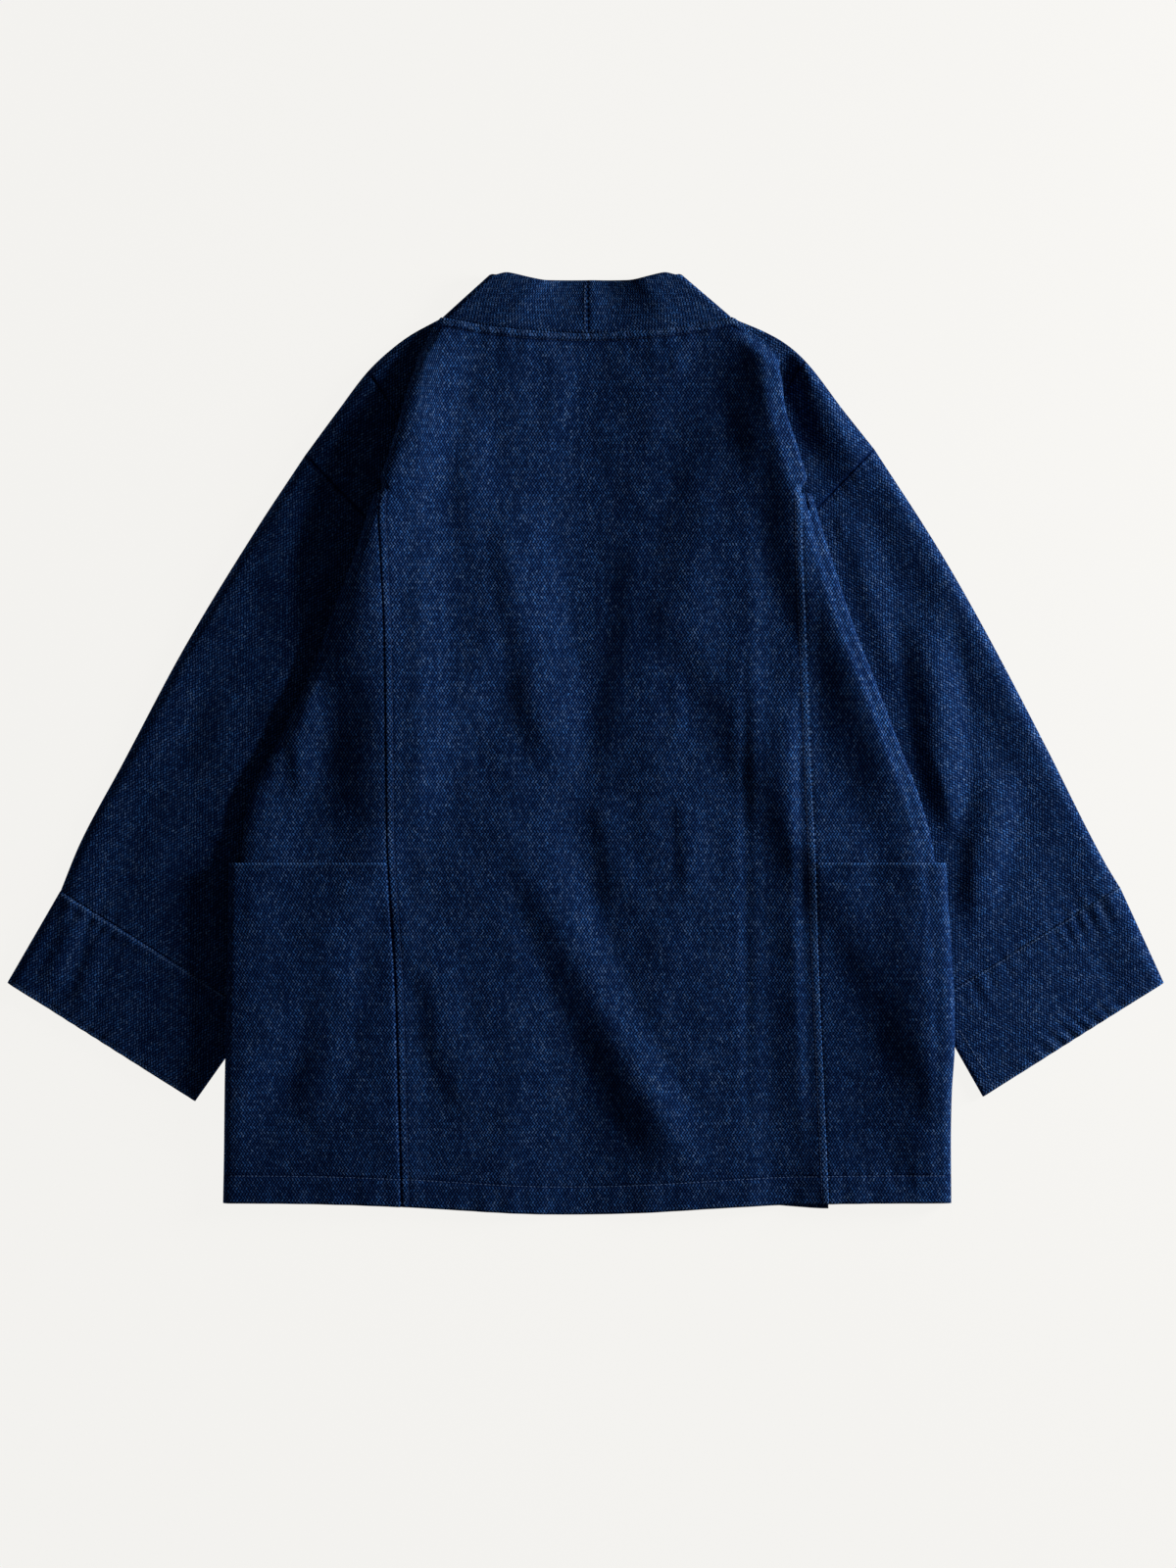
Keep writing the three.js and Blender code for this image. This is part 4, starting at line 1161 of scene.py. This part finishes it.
def stitches(name, node, tree, line, cloth, material, seed, length=2.4, width=0.75, lean=0.0):
    """A row of stitches along a line of places, on a node's cloth, leaning across the row by a share."""
    line = np.asarray(line, float)
    places = run_of(lengths(np.diff(line, axis=0)))
    draw = np.random.default_rng(seed)
    bm = bmesh.new()
    for place in np.arange(SEWN_STEP / 2, places[-1] - SEWN_MARGIN, SEWN_STEP):
        half = length / 2 * draw.uniform(0.85, 1.12)
        middle = place + draw.uniform(-0.3, 0.3)
        aside = draw.uniform(-0.15, 0.15)
        ends = []
        for way in (-half, half):
            x, y = (np.interp(middle + way, places, line[:, i]) for i in (0, 1))
            ends.append(tree.ray_cast(Vector((x + aside, y + lean * way, 200)), Vector((0, 0, -1)))[0])
        if None in ends:
            continue
        centre = (ends[0] + ends[1]) / 2 + Vector((0, 0, cloth / 2 + 0.1))
        reach = ends[1] - ends[0]
        size = Vector((reach.length, width * draw.uniform(0.85, 1.15), SEWN_HEIGHT)) * MM / 2
        matrix = Matrix.LocRotScale(centre * MM, reach.to_track_quat("X", "Z"), size)
        bmesh.ops.create_icosphere(bm, subdivisions=2, radius=1, matrix=matrix)
    mesh = bpy.data.meshes.new(name)
    fill(mesh, bm, material)
    placed(name, mesh).parent = bpy.data.objects[f"{node}_cloth"]


def straight(a, b, inset=0.0):
    """Places along a straight line, moved to its left by the inset."""
    a, b = np.array(a, float), np.array(b, float)
    left = np.array([a[1] - b[1], b[0] - a[0]]) / np.hypot(*(b - a))
    return between(a + left * inset, b + left * inset, np.linspace(0, 1, 60))


def mirrored(side, line):
    return np.asarray(line) * (side.sign, 1)


UNDERARM_SEAM = [(319.6, -245.7), (334, -269), (350.7, -296)]
BAND_SEAM_X = -0.6

body = height_tree(*(node for node in grids if node.split("_")[0] in ("back", "side", "pocket")))
hem_x = np.linspace(-POCKET_LEFT["edge"][-1] + 5, POCKET_RIGHT["edge"][-1] - 5, 200)
hem = np.stack([hem_x, hem_line(hem_x) + HEM_DEPTH], -1)
stitches("hem_stitches", "back_centre", body, hem, CLOTH, pale_thread, 11)
neck_x = np.linspace(-118, 118, 120)
neck = np.stack([neck_x, neck_line(neck_x) - NECK_ALLOWANCE], -1)
stitches("neck_stitches", "back_centre", body, neck, CLOTH, thread, 12)
gathers = neck + (0, NECK_ALLOWANCE / 2)
stitches("neck_gathers", "back_centre", body, gathers, CLOTH, cloth_ridge, 18, 2.6, 1.5, -1.9)
band = height_tree("collar_left", "collar_right")
band_seam = straight((BAND_SEAM_X, NECK_CENTRE_Y + 2), (BAND_SEAM_X, COLLAR_CENTRE_Y - 1))
stitches("collar_stitches", "collar_left", band, band_seam, BAND_CLOTH, pale_thread, 13)
for side in SIDES:
    word = side.word
    seam_y = np.linspace(APEX_Y - 4, HEM_SIDE_Y + 2, 200)
    seam = mirrored(side, np.stack([column(side.body, "seam", seam_y) - SEAM_ALLOWANCE, seam_y], -1))
    stitches(f"seam_stitches_{word}", "back_centre", body, seam, CLOTH, thread, 14)
    sleeve, cuff = f"sleeve_{word}", f"cuff_{word}"
    tree = height_tree(sleeve, cuff)
    cap = straight(side.armhole_end, side.shoulder[-1], -SLEEVE_STITCH)
    cuff_seam = straight(side.cuff_seam_end, side.sleeve[-1], -CUFF_SEAM_STITCH)
    cuff_edge = straight(side.cuff_inner, side.cuff_outer, CUFF_STITCH)
    for name, node, line, cloth, material, seed in (
        ("cap", sleeve, cap, CLOTH, thread, 15),
        ("cuff_seam", cuff, cuff_seam, CUFF_CLOTH, pale_thread, 16),
        ("underarm", cuff, UNDERARM_SEAM, CUFF_CLOTH, pale_thread, 19),
        ("cuff_edge", cuff, cuff_edge, CUFF_CLOTH, thread, 17),
    ):
        stitches(f"{name}_stitches_{word}", node, tree, mirrored(side, line), cloth, material, seed)


# The studio: a pale floor, a soft key from the right, and a dim room; the photo's height and centre are
# those of its frame on the floor
PHOTO_HEIGHT = 1344
PHOTO_CENTRE = (2.1, -35.7)
CAMERA_HEIGHT = 2800
SENSOR = 36
FLOOR_HALF = 4.0
FLOOR_DROP = 0.2
FLOOR_COLOUR = (0.93, 0.92, 0.895, 1)
FLOOR_GLOW = 0.95
KEY_PLACE = (1.9, 0.5, 0.46)
KEY_SIZE = 0.7
KEY_POWER = 78
KEY_COLOUR = (1.0, 0.99, 0.98)
ROOM_COLOUR = (0.93, 0.95, 1.0, 1)
ROOM_LIGHT = 0.078


def floor():
    g = Graph("pale floor")
    tone = g.noise(g.node("ShaderNodeTexCoord").outputs["Object"], 3.0)
    g.feed(g.shader.inputs["Base Color"], g.blend(tone, (0.040, 0.039, 0.038, 1), (0.050, 0.049, 0.048, 1)))
    g.surface({"Roughness": 0.95, "Specular IOR Level": 0.1})
    g.surface({"Emission Color": FLOOR_COLOUR, "Emission Strength": FLOOR_GLOW})
    bm = bmesh.new()
    bmesh.ops.create_grid(bm, x_segments=1, y_segments=1, size=FLOOR_HALF)
    mesh = bpy.data.meshes.new("floor")
    fill(mesh, bm, g.material)
    sheet = placed("floor", mesh)
    sheet.location.z = -FLOOR_DROP * MM


def key_light():
    data = bpy.data.lights.new("key", "AREA")
    data.shape = "DISK"
    data.size = KEY_SIZE
    data.energy = KEY_POWER
    data.color = KEY_COLOUR
    lamp = placed("key", data)
    lamp.location = KEY_PLACE
    lamp.rotation_euler = (-Vector(KEY_PLACE)).to_track_quat("-Z", "Y").to_euler()


def camera():
    data = bpy.data.cameras.new("camera")
    data.sensor_width = SENSOR
    data.lens = SENSOR * CAMERA_HEIGHT / PHOTO_HEIGHT
    data.clip_end = 20
    eye = placed("camera", data)
    eye.location = Vector((*PHOTO_CENTRE, CAMERA_HEIGHT)) * MM
    bpy.context.scene.camera = eye


floor()
camera()
key_light()
world = bpy.data.worlds.new("room")
bpy.context.scene.world = world
world.use_nodes = True
background = world.node_tree.nodes["Background"]
background.inputs["Color"].default_value = ROOM_COLOUR
background.inputs["Strength"].default_value = ROOM_LIGHT
bpy.context.scene.view_settings.view_transform = "Standard"
